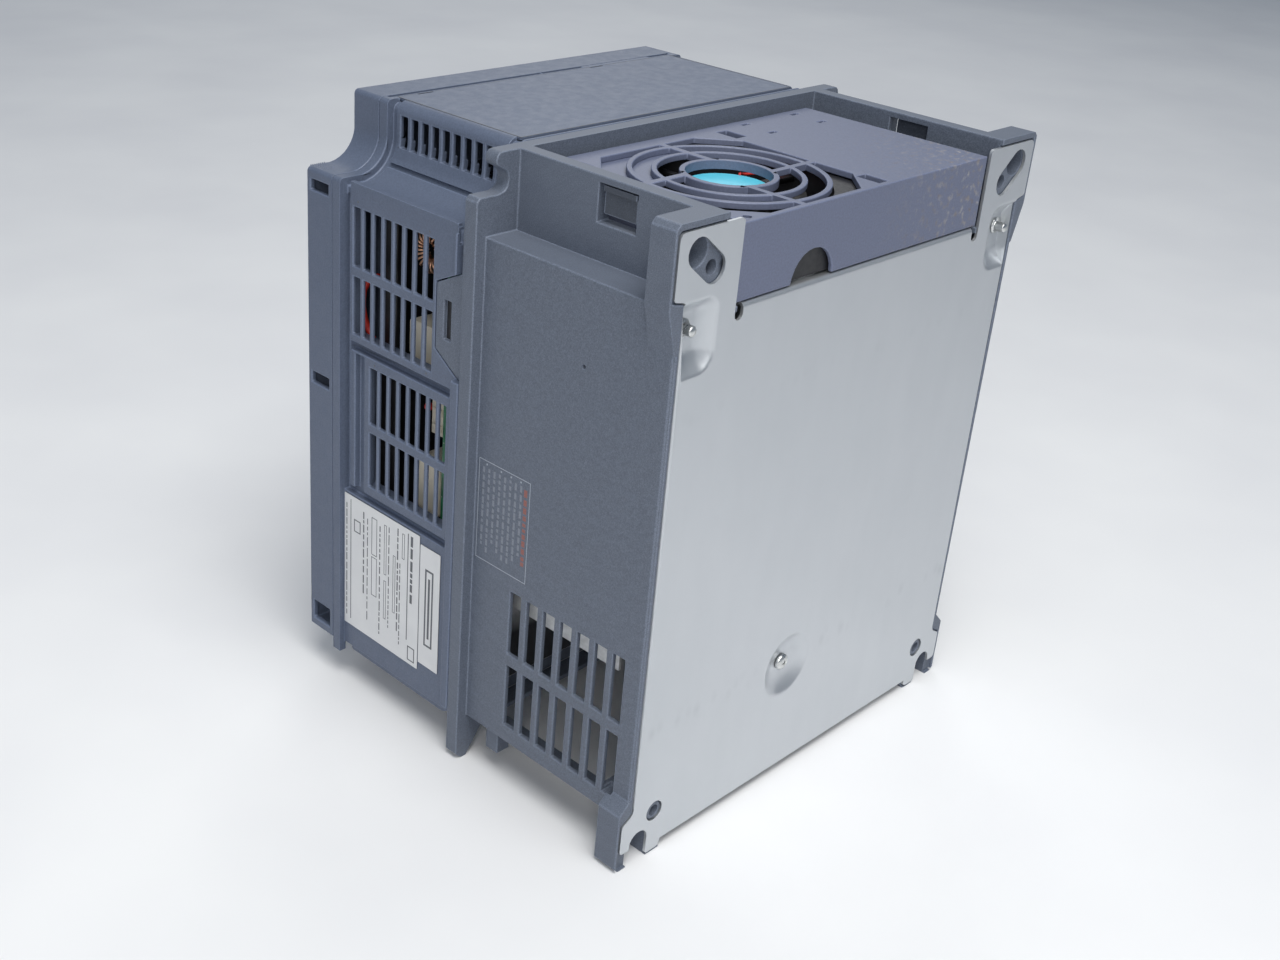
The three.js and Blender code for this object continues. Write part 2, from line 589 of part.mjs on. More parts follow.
function rearCase() {
  const inner = CASE_SIDE - CASE_WALL;
  const seat = REAR - PLATE_THICKNESS - 0.3; // the steel plate lies on this face
  const tube = cut(
    box(-CASE_SIDE, CASE_SIDE, FLANGE_REAR - 1, REAR - 0.2, CASE_BOTTOM, CASE_SHOULDER_Z),
    box(-inner, inner, -10, REAR + 1, CASE_BOTTOM + CASE_WALL, DECK_Z - 2.4),
  );
  const rails = bothSides((sign) => sideBox(
    sign, RAIL_INNER, RAIL_OUTER, FLANGE_FRONT, REAR - 0.2, DECK_Z - 2, HEIGHT,
  ));
  const flange = extrude(flangeOutline(), 'y', FLANGE_FRONT, FLANGE_REAR);
  const flangeHole = box(-98, 98, -10, FLANGE_REAR + 1, 30, 222);
  const lugs = bothSides((sign) => {
    const x0 = sign > 0 ? 104.8 : -HOUSING_SIDE;
    const shape = outline([...LUG, [FLANGE_FRONT + 1, LUG[4][1]], [FLANGE_FRONT + 1, LUG[0][1]]]);
    const slot = sideBox(sign, 105.6, SIDE, -14.4, -10.4, 184.4, 200.4);
    return cut(extrude(shape, 'x', x0, x0 + HOUSING_SIDE - 104.8), slot);
  });
  const plateBosses = bothSides((sign) => join(
    sideBox(sign, 85, inner + 1, 80, seat, CASE_BOTTOM + 1, 30),
    sideBox(sign, 90, inner + 1, 78, 88.4, 208, DECK_Z),
  ));
  const screwRib = box(-inner - 1, inner + 1, 86, DIMPLE.floor - GAP, 50, 61);
  const sideLips = bothSides((sign) => sideBox(sign, 98.5, inner + 1, 92, seat, 24, 204));
  const smallFeet = bothSides((sign) => sideBox(sign, 96, 103, 15, 22, 10, CASE_BOTTOM + 1));
  const body = join(
    tube,
    rails,
    cut(flange, flangeHole),
    lugs,
    bothSides(cornerPost),
    bothSides(rearFoot),
    plateBosses,
    screwRib,
    sideLips,
    smallFeet,
  );
  const deckHole = box(-71.5, 73, 12, 94, DECK_Z - 6, CASE_SHOULDER_Z + 1);
  const lipRoom = box(-74.6, 74.6, 88, REAR + 1, DECK_Z - 6, CASE_SHOULDER_Z + 1);
  const deckStep = box(-RAIL_INNER, RAIL_INNER, FLANGE_REAR, REAR + 1, DECK_Z, HEIGHT + 1);
  const bottomInlet = box(-94, 94, 12, 84, 0, CASE_BOTTOM + 4);
  const plateSeat = extrude(plateOutline(0.6), 'y', seat, REAR + 1);
  const latchWindow = bothSides((sign) => sideBox(sign, 83, 92, 44, 62.2, 243.3, 257.5));
  const screwHoles = [
    ...bothSides((sign) => rod('y', sign * POCKET_SCREW_X, POCKET_SCREW_Z, 1.7, 76, REAR)),
    rod('y', DIMPLE.x, DIMPLE.z, 1.7, 84, REAR),
  ];
  const pocketRoom = bothSides((sign) => sideBox(sign, 83.8, inner, 88.4, REAR + 1, 203, 233));
  const bare = cut(
    body,
    deckHole,
    lipRoom,
    deckStep,
    bottomInlet,
    plateSeat,
    latchWindow,
    screwHoles,
    pocketRoom,
    bothSides(rimChamfer),
    bothSides(caseVents).flat(),
    rod('x', 57, 197, 0.9, 90, SIDE, 4),
  );
  return cut(
    join(bare, bothSides(plateSpigots)),
    bothSides((sign) => [
      rod('y', sign * PILOT.x, PILOT.z, PILOT.bore, POST_FRONT + 2, REAR + 1, 20),
      rod('y', sign * PILOT_LOW.x, PILOT_LOW.z, PILOT_LOW.bore, POST_FRONT + 2, REAR + 1, 20),
    ]).flat(),
  );
}

// Hollow spigots that locate the steel plate in its tab slots and lower holes.
function plateSpigots(sign) {
  const top = REAR - 1.6;
  return join(
    rod('y', sign * PILOT.x, PILOT.z, PILOT.r, POST_FRONT + 1, top, 20),
    rod('y', sign * PILOT_LOW.x, PILOT_LOW.z, PILOT_LOW.r, POST_FRONT + 1, top + 1.2, 20),
  );
}

// Latch tongue in the window of an upright wall; pressing its top inwards frees the fan cover.
const LATCH = { x: 87.7, y0: 45.8, y1: 61.4, z: 246.6, top: 256.8 };

function coverLatch(sign) {
  return join(
    sideBox(sign, LATCH.x - 0.9, LATCH.x + 0.9, LATCH.y0, LATCH.y1, LATCH.z, LATCH.top),
    sideBox(sign, LATCH.x, LATCH.x + 1.9, LATCH.y0, LATCH.y1, LATCH.top - 2, LATCH.top),
  );
}

// ---- Steel back plate ----
const POCKET = { inner: 85.5, z0: 206, z1: 231.2, r: 8, floor: 91.6 };
const POCKET_SCREW_X = 97.4;
const POCKET_SCREW_Z = 221.5;
const PILOT = { x: 89.6, z: 242, r: 4.6, bore: 2.7 };
const PILOT_LOW = { x: 90, z: 20.5, r: 3.8, bore: 2.4 };
const DIMPLE = { x: 13.8, z: 55.5, r: 14, floorR: 6.5, floor: 92.6 };

const LIP_R = 1.8; // bend radius of the sheet's folded top edge

// Outline of the flat sheet, grown by a clearance.
function plateOutline(grow) {
  const ear = PLATE_EAR + grow;
  const side = PLATE_SIDE + grow;
  const top = TAB_TOP + grow;
  const half = (s) => [
    [84.8 - grow, 4.3 - grow], [84.8 - grow, 2.2 - grow], [87 - grow, 1 - grow], [ear, 1 - grow],
    [ear, 21.6 + grow], [side, 25 + grow], [side, 232.6 - grow], [ear, 234 - grow],
    [ear, top - 1.5], [ear - 1.5, top], [TAB_INNER + 1.5 - grow, top], [TAB_INNER - grow, top - 1.5],
    [TAB_INNER - grow, 222.6], [71.6, 222.6], [71.6, PLATE_TOP - LIP_R],
  ].map(([x, z]) => [s * x, z]);
  return outline([...half(1), ...half(-1).reverse()]);
}

// Round-ended slot from one centre to another.
function stadium([u0, v0], [u1, v1], r) {
  const angle = Math.atan2(v1 - v0, u1 - u0);
  const shape = new THREE.Shape();
  shape.absarc(u1, v1, r, angle - Math.PI / 2, angle + Math.PI / 2);
  shape.absarc(u0, v0, r, angle + Math.PI / 2, angle + 1.5 * Math.PI);
  shape.closePath();
  return shape;
}

function mountingSlot(sign) {
  const shape = stadium([sign * PILOT.x, PILOT.z], [sign * MOUNT_X, MOUNT_TOP_Z], MOUNT_R + 0.5);
  return extrude(shape, 'y', POST_FRONT, REAR + 1, 5);
}

function pocket(sign, grow, y0, y1) {
  const { inner, z0, z1, r } = POCKET;
  const x0 = inner - grow;
  const shape = new THREE.Shape();
  shape.moveTo(sign * (PLATE_SIDE + 4), z0 - grow);
  shape.lineTo(sign * (PLATE_SIDE + 4), z1 + grow);
  shape.lineTo(sign * (x0 + r), z1 + grow);
  shape.quadraticCurveTo(sign * x0, z1 + grow, sign * x0, z1 + grow - r);
  shape.lineTo(sign * x0, z0 - grow + r);
  shape.quadraticCurveTo(sign * x0, z0 - grow, sign * (x0 + r), z0 - grow);
  shape.closePath();
  return extrude(shape, 'y', y0, y1, 4);
}

function cone(x, z, rFront, rRear, y0, y1) {
  const geometry = new THREE.CylinderGeometry(rRear, rFront, y1 - y0, 24);
  return solid(geometry.translate(x, (y0 + y1) / 2, z));
}

function backPlate() {
  const front = REAR - PLATE_THICKNESS;
  const sheet = extrude(plateOutline(0), 'y', front, REAR);
  const bend = new THREE.Shape();
  bend.moveTo(front, PLATE_TOP - LIP_R - 1);
  bend.lineTo(REAR, PLATE_TOP - LIP_R - 1);
  bend.absarc(REAR - LIP_R, PLATE_TOP - LIP_R, LIP_R, 0, Math.PI / 2);
  bend.lineTo(90, PLATE_TOP);
  bend.lineTo(90, PLATE_TOP - PLATE_THICKNESS);
  bend.lineTo(front - 0.6, PLATE_TOP - PLATE_THICKNESS);
  bend.lineTo(front, PLATE_TOP - PLATE_THICKNESS - 0.6);
  bend.closePath();
  const lip = extrude(bend, 'x', -71.6, 71.6, 4);
  const trays = bothSides((sign) => cut(
    pocket(sign, PLATE_THICKNESS, POCKET.floor, REAR),
    sideBox(sign, PLATE_SIDE, PLATE_SIDE + 10, 80, REAR + 1, 190, 240),
  ));
  const dish = cone(DIMPLE.x, DIMPLE.z, DIMPLE.floorR + 1.2, DIMPLE.r + 0.5, DIMPLE.floor, REAR);
  const dishHollow = cone(
    DIMPLE.x, DIMPLE.z, DIMPLE.floorR, DIMPLE.r + 1.5, DIMPLE.floor + PLATE_THICKNESS, REAR + 0.5,
  );
  return cut(
    join(sheet, lip, trays, dish),
    bothSides((sign) => pocket(sign, 0, POCKET.floor + PLATE_THICKNESS, REAR + 1)),
    dishHollow,
    rod('y', DIMPLE.x, DIMPLE.z, 2, 80, REAR + 1),
    bothSides(mountingSlot),
    bothSides((sign) => [
      rod('y', sign * POCKET_SCREW_X, POCKET_SCREW_Z, 2, 80, REAR + 1),
      rod('y', sign * PILOT_LOW.x, PILOT_LOW.z, 4.4, 90, REAR + 1),
      rod('y', sign * MOUNT_X, MOUNT_BOTTOM_Z, MOUNT_R, 90, REAR + 1, ROUND),
      sideBox(sign, MOUNT_X - MOUNT_R, MOUNT_X + MOUNT_R, 90, REAR + 1, -1, MOUNT_BOTTOM_Z),
      sideBox(sign, MOUNT_X + 2, SIDE, 90, REAR + 1, -1, 8),
    ]).flat(),
  );
}

// Pan-head screw along Y with its head at headY and a cross recess.
function panScrew(x, z, headY, tipY) {
  const head = cut(rod('y', x, z, 3.4, headY, headY + 2.4), crossRecess(x, z, headY + 1));
  return join(head, rod('y', x, z, 1.5, tipY, headY + 0.5));
}

function crossRecess(x, z, y) {
  return join(
    box(x - 2, x + 2, y, y + 3, z - 0.4, z + 0.4),
    box(x - 0.4, x + 0.4, y, y + 3, z - 2, z + 2),
  );
}

// ---- Fan unit: cover, frame, rotor, lead and plug ----
const GRILLE_RINGS = [17.2, 27.4, 36.4];
const INNER_RING_HEIGHT = 3.5;
const RING_WIDTH = 2.2;
const SPOKE_OFFSET = 7.5;

function octagon(half, chamfer) {
  const near = half - chamfer;
  return outline([
    [FAN_X + half, FAN_Y - near], [FAN_X + half, FAN_Y + near],
    [FAN_X + near, FAN_Y + half], [FAN_X - near, FAN_Y + half],
    [FAN_X - half, FAN_Y + near], [FAN_X - half, FAN_Y - near],
    [FAN_X - near, FAN_Y - half], [FAN_X + near, FAN_Y - half],
  ]);
}

function ring(r, z0, z1) {
  const geometry = new THREE.LatheGeometry([
    new THREE.Vector2(r - RING_WIDTH / 2, z0),
    new THREE.Vector2(r + RING_WIDTH / 2, z0),
    new THREE.Vector2(r + RING_WIDTH / 2, z1),
    new THREE.Vector2(r - RING_WIDTH / 2, z1),
    new THREE.Vector2(r - RING_WIDTH / 2, z0),
  ], 48);
  return solid(geometry.rotateX(Math.PI / 2).translate(FAN_X, FAN_Y, 0));
}

function fanCover() {
  const { x0, x1, y0, y1, z0, z1 } = FAN_COVER;
  const wall = 1.8;
  const top = 2.5;
  const grilleFloor = z1 - top;
  const shell = cut(
    box(x0, x1, y0, y1, z0, z1),
    box(x0 + wall, x1 - wall, y0 + wall, y1 - wall, z0 - 1, grilleFloor),
    extrude(octagon(39.6, 13.5), 'z', z0, z1 + 1),
  );
  const rings = GRILLE_RINGS.map((r, index) => ring(
    r, index === 0 ? z1 - INNER_RING_HEIGHT : grilleFloor, z1,
  ));
  const reach = 40.2;
  const start = GRILLE_RINGS[0] - 2;
  const half = 1.4;
  const spokes = [
    [SPOKE_OFFSET - half, SPOKE_OFFSET + half, start, reach],
    [-SPOKE_OFFSET - half, -SPOKE_OFFSET + half, -reach, -start],
    [-reach, -start, SPOKE_OFFSET - half, SPOKE_OFFSET + half],
    [start, reach, -SPOKE_OFFSET - half, -SPOKE_OFFSET + half],
  ].map(([u0, u1, v0, v1]) => box(
    FAN_X + u0, FAN_X + u1, FAN_Y + v0, FAN_Y + v1, grilleFloor, z1,
  ));
  const hole = (u0, u1, v0, v1) => box(u0, u1, v0, v1, grilleFloor - 1, z1 + 1);
  const smallSlots = [-60, -27.5].flatMap((x) => [12.6, 26.7].map(
    (y) => hole(x - 2.4, x + 2.4, y - 0.9, y + 0.9),
  ));
  const fingerNotch = rod('y', 33.7, z0 - 0.5, 12, y1 - 4, y1 + 1);
  return cut(
    join(shell, cut(join(rings), rod('z', FAN_X, FAN_Y, start + 1, z0, z1 + 1)), spokes),
    smallSlots,
    hole(-13, -7, 14.7, 25),
    hole(-9.5, -4, 84.5, 94.5),
    hole(70.4, 71.6, 16, 22),
    hole(x1 - 2.6, x1 + 1, y1 - 5.4, y1 - 2.4),
    rod('z', 69.6, 93, 1.6, grilleFloor - 1, z1 + 1),
    fingerNotch,
  );
}

const HUB = { r: 16.4, z0: 245.8, z1: 249.4 };
const ROTOR = { hubR: 17, z0: 228.4, z1: 245.3, bladeTip: 36, blades: 7 };
const FAN_BORE = 38.2;

function fanFrame() {
  const square = (half) => rect(FAN_X - half, FAN_X + half, FAN_Y - half, FAN_Y + half, 3);
  const block = cut(
    extrude(square(FAN_HALF), 'z', FAN_BOTTOM, FAN_TOP),
    rod('z', FAN_X, FAN_Y, FAN_BORE, FAN_BOTTOM - 1, FAN_TOP + 1, ROUND_FINE),
    [[-1, -1], [-1, 1], [1, -1], [1, 1]].map(([i, j]) => rod(
      'z', FAN_X + i * 35.75, FAN_Y + j * 35.75, 2.1, FAN_BOTTOM - 1, FAN_TOP + 1, 4,
    )),
  );
  const struts = [
    box(FAN_X - 39, FAN_X + 39, FAN_Y - 1.6, FAN_Y + 1.6, HUB.z0, HUB.z0 + 2.2),
    box(FAN_X - 1.6, FAN_X + 1.6, FAN_Y - 39, FAN_Y + 39, HUB.z0, HUB.z0 + 2.2),
  ];
  const stator = rod('z', FAN_X, FAN_Y, HUB.r, HUB.z0, HUB.z1, ROUND_FINE);
  const bearing = rod('z', FAN_X, FAN_Y, 2.4, HUB.z0 - 1, HUB.z0 + 2, 6);
  return cut(join(block, struts, stator), bearing);
}

// Swept fan blade pointing along +X, turned to its place round the hub.
function fanBlade(index) {
  const section = new THREE.Shape();
  section.moveTo(-9, 231.4);
  section.quadraticCurveTo(1, 233.6, 8, 244.2);
  section.lineTo(6.6, 244.4);
  section.quadraticCurveTo(0, 235.2, -9, 232.8);
  section.closePath();
  const geometry = extrudeGeometry(section, 'x', ROTOR.hubR - 3, ROTOR.bladeTip, 3);
  geometry.rotateZ((index * 2 * Math.PI) / ROTOR.blades);
  return solid(geometry.translate(FAN_X, FAN_Y, 0));
}

function fanRotor() {
  return join(
    rod('z', FAN_X, FAN_Y, ROTOR.hubR, ROTOR.z0, ROTOR.z1, ROUND_FINE),
    rod('z', FAN_X, FAN_Y, 2, ROTOR.z1 - 1, HUB.z0 + 1.6, 6),
    range(ROTOR.blades).map(fanBlade),
  );
}

function hubLabel() {
  return rod('z', FAN_X, FAN_Y, HUB.r - 0.8, HUB.z1 + 0.3, HUB.z1 + 0.6, ROUND_FINE);
}

// Insulated lead swept along hand-placed points.
function lead(points, r, steps) {
  const path = new THREE.CatmullRomCurve3(points.map((p) => new THREE.Vector3(...p)));
  const shape = disc(0, 0, r);
  const geometry = new THREE.ExtrudeGeometry(shape, { steps, curveSegments: 4, extrudePath: path });
  return solid(geometry);
}

const FAN_PLUG = { x: -36, y: 40 };

function fanLead() {
  return lead([
    [FAN_X - FAN_HALF - 1.4, 62, 249], [-14, 60, 248.4], [-24, 54, 247],
    [-32, 45, 245], [FAN_PLUG.x, FAN_PLUG.y, 241], [FAN_PLUG.x, FAN_PLUG.y, 238.4],
  ], 1.3, 14);
}

function fanPlug() {
  return join(
    box(FAN_PLUG.x - 5, FAN_PLUG.x + 5, FAN_PLUG.y - 3, FAN_PLUG.y + 3, 230, 238),
    box(FAN_PLUG.x - 2, FAN_PLUG.x + 2, FAN_PLUG.y + 2, FAN_PLUG.y + 4.2, 231, 236.5),
  );
}

// Socket that the fan plug stands on, in the end of a bracket from the case deck.
function fanSocket() {
  const wall = join(
    box(FAN_PLUG.x - 7, FAN_PLUG.x + 7, 12.4, FAN_PLUG.y + 6, 226.6, 228.2),
    box(FAN_PLUG.x - 6.6, FAN_PLUG.x + 6.6, FAN_PLUG.y - 4.6, FAN_PLUG.y + 6, 227, 233),
  );
  return cut(wall, box(FAN_PLUG.x - 5.4, FAN_PLUG.x + 5.4, FAN_PLUG.y - 3.4, FAN_PLUG.y + 4.6, 229.6, 240));
}

// ---- Heat sink ----
const SINK = { side: 97.4, front: -1, back: 5.5, z0: 30.6, z1: 221.4 };
const FINS = { count: 23, pitch: 8.5, thickness: 1.5, y1: 76.5, z0: 76, z1: 218 };

function heatSink() {
  const fins = range(FINS.count).map((index) => {
    const x = (index - (FINS.count - 1) / 2) * FINS.pitch;
    return box(x - FINS.thickness / 2, x + FINS.thickness / 2, SINK.back - 1, FINS.y1, FINS.z0, FINS.z1);
  });
  return join(box(-SINK.side, SINK.side, SINK.front, SINK.back, SINK.z0, SINK.z1), fins);
}

// ---- Power electronics, standing on the front of the heat sink base ----
const MODULE_FACE = SINK.front - GAP;
const POWER_BOARD = { y0: -26, y1: -24.4, side: 96, z0: 62, z1: 220 };

function igbtModule() {
  const body = box(-52, 52, -20, MODULE_FACE - 4, 152, 212);
  const base = extrude(rect(-58, 58, 150, 214, 3), 'y', MODULE_FACE - 4.2, MODULE_FACE);
  const pins = range(9).map((index) => {
    const x = -44 + index * 11;
    return join(
      box(x - 0.6, x + 0.6, -24, -19, 157, 158.2),
      box(x - 0.6, x + 0.6, -24, -19, 206, 207.2),
    );
  });
  return join(body, base, pins);
}

function rectifierModule() {
  const body = box(-36, 36, -19, MODULE_FACE - 3, 92, 126);
  const base = extrude(rect(-44, 44, 90, 128, 3), 'y', MODULE_FACE - 3.2, MODULE_FACE);
  const pins = range(5).map((index) => box(-31 + index * 15, -29 + index * 15, -24, -18, 96, 98));
  return join(body, base, pins);
}

function powerBoard() {
  const { y0, y1, side, z0, z1 } = POWER_BOARD;
  const board = extrude(rect(-side, side, z0, z1, 3), 'y', y0, y1);
  const corners = bothSides((sign) => [
    rod('y', sign * 90, 68, 2, y0 - 1, y1 + 1, 4),
    rod('y', sign * 90, 214, 2, y0 - 1, y1 + 1, 4),
  ]).flat();
  return cut(board, corners, box(-20, 20, y0 - 1, y1 + 1, 134, 142));
}

const BOARD_FACE = POWER_BOARD.y0 - 0.3;
const CAPACITORS = [-76, -44, -12, 20];

function capacitor(x) {
  const can = rod('y', x, 199, 14.5, BOARD_FACE - 34, BOARD_FACE);
  const score = join(
    box(x - 9, x + 9, BOARD_FACE - 35, BOARD_FACE - 33.5, 198.5, 199.5),
    box(x - 0.5, x + 0.5, BOARD_FACE - 35, BOARD_FACE - 33.5, 190, 208),
  );
  return cut(can, score);
}

function transformer() {
  return join(
    box(-84, -56, BOARD_FACE - 26, BOARD_FACE - 4, 104, 128),
    box(-78, -62, BOARD_FACE - 22, BOARD_FACE - 8, 99, 133),
    box(-82, -58, BOARD_FACE - 5, BOARD_FACE, 106, 126),
  );
}

// Ring-shaped current sensor through which an output bar passes.
function currentSensor(x) {
  const body = extrude(rect(x - 13, x + 13, 74, 96, 3), 'y', BOARD_FACE - 12, BOARD_FACE);
  return cut(body, rod('y', x, 85, 6, BOARD_FACE - 13, BOARD_FACE + 1));
}

function busBar(z) {
  const bar = box(-88, 34, BOARD_FACE - 1.5, BOARD_FACE, z, z + 8);
  const stubs = CAPACITORS.map((x) => box(x - 3, x + 3, BOARD_FACE - 4.5, BOARD_FACE - 1, z + 2, z + 6));
  return join(bar, stubs);
}

function filmCapacitor() {
  return extrude(rect(-40, -27.2, 97, 123, 2), 'x', 74, 96);
}

// Tall connector at the edge of the power board for the gate leads.
function gateConnector(z) {
  return join(
    box(86, 98, -44, BOARD_FACE, z, z + 17),
    box(87.5, 96.5, -47, -43, z + 1.5, z + 15.5),
  );
}

// ---- Terminals ----
const POLES = { count: 10, pitch: 17, z0: 28, z1: 56, y0: -60, y1: -38 };

function mainTerminalBlock() {
  const half = (POLES.count * POLES.pitch) / 2;
  const base = box(-half - 1.5, half + 1.5, POLES.y0 + 10, POLES.y1, POLES.z0, POLES.z1);
  const barriers = range(POLES.count + 1).map((index) => {
    const x = -half + index * POLES.pitch;
    return box(x - 1.2, x + 1.2, POLES.y0, POLES.y0 + 11, POLES.z0, POLES.z1);
  });
  const legs = bothSides((sign) => sideBox(
    sign, 66, 74, POLES.y1 - 1, MODULE_FACE, 34, 50,
  ));
  return join(base, barriers, legs);
}

function groundBar() {
  const bar = box(-96, -78, MODULE_FACE - 3, MODULE_FACE, 34, 46);
  return cut(bar, rod('y', -87, 40, 2.6, -10, 0, 6));
}

const TRAY = { y0: -66, y1: -64, side: 96, z0: 64, z1: 224 };
const CONTROL_BOARD = { y0: -70, y1: -68.4, side: 92, z0: 68, z1: 196 };

function boardTray() {
  const { y0, y1, side, z0, z1 } = TRAY;
  const sheet = extrude(rect(-side, side, z0, z1, 3), 'y', y0, y1);
  const posts = bothSides((sign) => [74, 190].map((z) => rod(
    'y', sign * 86, z, 3, CONTROL_BOARD.y1 + 0.3, y0 + 0.5, 6,
  ))).flat();
  const lips = bothSides((sign) => sideBox(sign, side - 2, side, y1 - 0.5, y1 + 8, z0 + 3, z1 - 3));
  return cut(join(sheet, posts, lips), box(-60, -20, y0 - 1, y1 + 1, 205, 218));
}

function controlBoard() {
  const { y0, y1, side, z0, z1 } = CONTROL_BOARD;
  return extrude(rect(-side, side, z0, z1, 2), 'y', y0, y1);
}

const CONTROL_FACE = CONTROL_BOARD.y0 - 0.3;

function controlTerminals() {
  const base = box(-66, 66, CONTROL_FACE - 8, CONTROL_FACE, 70, 82);
  const ways = range(20).map((index) => {
    const x = -60.8 + index * 6.4;
    return box(x - 1.8, x + 1.8, CONTROL_FACE - 9, CONTROL_FACE - 3, 68, 73);
  });
  return cut(base, ways);
}

function relay(x) {
  return extrude(rect(x - 9, x + 9, 92, 106, 1), 'y', CONTROL_FACE - 11, CONTROL_FACE);
}

function keypadSocket() {
  return join(
    box(KEYPAD.x - 8, KEYPAD.x + 8, CONTROL_FACE - 8.4, CONTROL_FACE, 158, 174),
    box(KEYPAD.x - 10, KEYPAD.x + 10, CONTROL_FACE - 3, CONTROL_FACE, 160, 172),
  );
}

function keypadHolder() {
  const sheet = extrude(rect(-1, 69, 116, 216, 3), 'y', -82.8, -80.6);
  const legs = [3, 65].flatMap((x) => [202, 212].map((z) => rod('y', x, z, 2.4, -81, TRAY.y0 - 0.3, 6)));
  return cut(join(sheet, legs), box(22, 46, -90, -70, 154, 178));
}

function chargeLamp() {
  return join(
    rod('y', LAMP_X, LAMP_Z, 2.4, FRONT + 3, CONTROL_FACE),
    rod('y', LAMP_X, LAMP_Z, 3.4, CONTROL_FACE - 4, CONTROL_FACE),
  );
}

// Sliding switch on the control board that selects the input type.
const SWITCH = { x: 78, z: 120 };

function switchHousing() {
  const { x, z } = SWITCH;
  return cut(
    box(x - 7, x + 7, CONTROL_FACE - 5, CONTROL_FACE, z - 3.5, z + 3.5),
    box(x - 4.5, x + 4.5, CONTROL_FACE - 6, CONTROL_FACE - 1.5, z - 1.8, z + 1.8),
  );
}

function switchLever() {
  const { x, z } = SWITCH;
  return box(x - 4.2, x - 0.8, CONTROL_FACE - 7.5, CONTROL_FACE - 1.8, z - 1.5, z + 1.5);
}

// Lead that runs round the board tray's edge from the power board to the control board.
function controlLead() {
  return lead([
    [94, BOARD_FACE - 1.6, 152], [95, -40, 155], [98.5, -56, 160], [98.6, -65, 163],
    [99.6, -70.5, 170], [100.2, -72.6, 180], [97.5, -73.4, 187], [91, CONTROL_FACE - 2.4, 189],
    [86, CONTROL_FACE - 1.8, 186],
  ], 1.4, 20);
}

// ---- Labels on the right-hand side, left blank ----
const LABELS = {
  nameplate: { y0: -74.4, y1: -24.6, z0: 29.6, z1: 94.3 },
  side_sticker: { y0: -24, y1: -11.6, z0: 33.8, z1: 91 },
};

function label({ y0, y1, z0, z1 }) {
  return box(HOUSING_SIDE, HOUSING_SIDE + 0.3, y0, y1, z0, z1);
}

function labelSeats() {
  return Object.values(LABELS).map(({ y0, y1, z0, z1 }) => box(
    HOUSING_SIDE - 0.3, HOUSING_SIDE + 1, y0 - 0.3, y1 + 0.3, z0 - 0.3, z1 + 0.3,
  ));
}

// ---- Assembly ----
part('front_cover', frontCover(), MATERIALS.housing);
part('front_cover_screw', coverScrew(), MATERIALS.zinc);
part('keypad_body', keypadBody(), MATERIALS.keypadShell);
part('keypad_window', keypadWindow(), MATERIALS.display);
KEYS.forEach((entry) => part(entry.name, key(entry), MATERIALS[entry.material]));
part('front_housing', cut(frontHousing(), labelSeats()), MATERIALS.housing);
part('top_panel', topPanel(), MATERIALS.housing);
part('nameplate', label(LABELS.nameplate), MATERIALS.label);
part('side_sticker', label(LABELS.side_sticker), MATERIALS.label);
part('wiring_guide', wiringGuide(), MATERIALS.housing);
GROMMETS.forEach((entry, index) => part(`grommet_${index + 1}`, grommet(entry), MATERIALS.rubber));
part('rear_case', rearCase(), MATERIALS.rearCase);
part('cover_latch_right', coverLatch(1), MATERIALS.rearCase);
part('cover_latch_left', coverLatch(-1), MATERIALS.rearCase);
part('back_plate', backPlate(), MATERIALS.steelPlate);
part('plate_screw_right', panScrew(POCKET_SCREW_X, POCKET_SCREW_Z, 93.2, 80), MATERIALS.zinc);
part('plate_screw_left', panScrew(-POCKET_SCREW_X, POCKET_SCREW_Z, 93.2, 80), MATERIALS.zinc);
part('plate_screw_low', panScrew(DIMPLE.x, DIMPLE.z, 94.2, 87), MATERIALS.zinc);
part('fan_cover', fanCover(), MATERIALS.fanCover);
part('fan_frame', fanFrame(), MATERIALS.blackPlastic);
part('fan_rotor', fanRotor(), MATERIALS.blackPlastic);
part('fan_hub_label', hubLabel(), MATERIALS.cyanLabel);
part('fan_lead', fanLead(), MATERIALS.redWire);
part('fan_plug', fanPlug(), MATERIALS.cream);
part('fan_socket', fanSocket(), MATERIALS.cream);
part('heat_sink', heatSink(), MATERIALS.aluminium);
part('igbt_module', igbtModule(), MATERIALS.blackPlastic);
part('rectifier_module', rectifierModule(), MATERIALS.blackPlastic);
part('power_board', powerBoard(), MATERIALS.board);
CAPACITORS.forEach((x, index) => part(`dc_capacitor_${index + 1}`, capacitor(x), MATERIALS.capacitor));
part('transformer', transformer(), MATERIALS.tape);
part('current_sensor_1', currentSensor(28), MATERIALS.cream);
part('current_sensor_2', currentSensor(62), MATERIALS.cream);
part('bus_bar_positive', busBar(170), MATERIALS.copper);
part('bus_bar_negative', busBar(154), MATERIALS.copper);
part('film_capacitor', filmCapacitor(), MATERIALS.cream);
part('gate_connector', gateConnector(164), MATERIALS.cream);
part('main_terminal_block', mainTerminalBlock(), MATERIALS.blackPlastic);
part('ground_bar', groundBar(), MATERIALS.zinc);
part('board_tray', boardTray(), MATERIALS.blackPlastic);
part('control_board', controlBoard(), MATERIALS.board);
part('control_terminals', controlTerminals(), MATERIALS.blueRelay);
part('relay', relay(-74), MATERIALS.blueRelay);
part('keypad_socket', keypadSocket(), MATERIALS.cream);
part('keypad_holder', keypadHolder(), MATERIALS.cream);
part('charge_lamp', chargeLamp(), MATERIALS.lamp);
part('switch_housing', switchHousing(), MATERIALS.blackPlastic);
part('switch_lever', switchLever(), MATERIALS.keyGrey);
part('control_lead', controlLead(), MATERIALS.redWire);

export default drive;
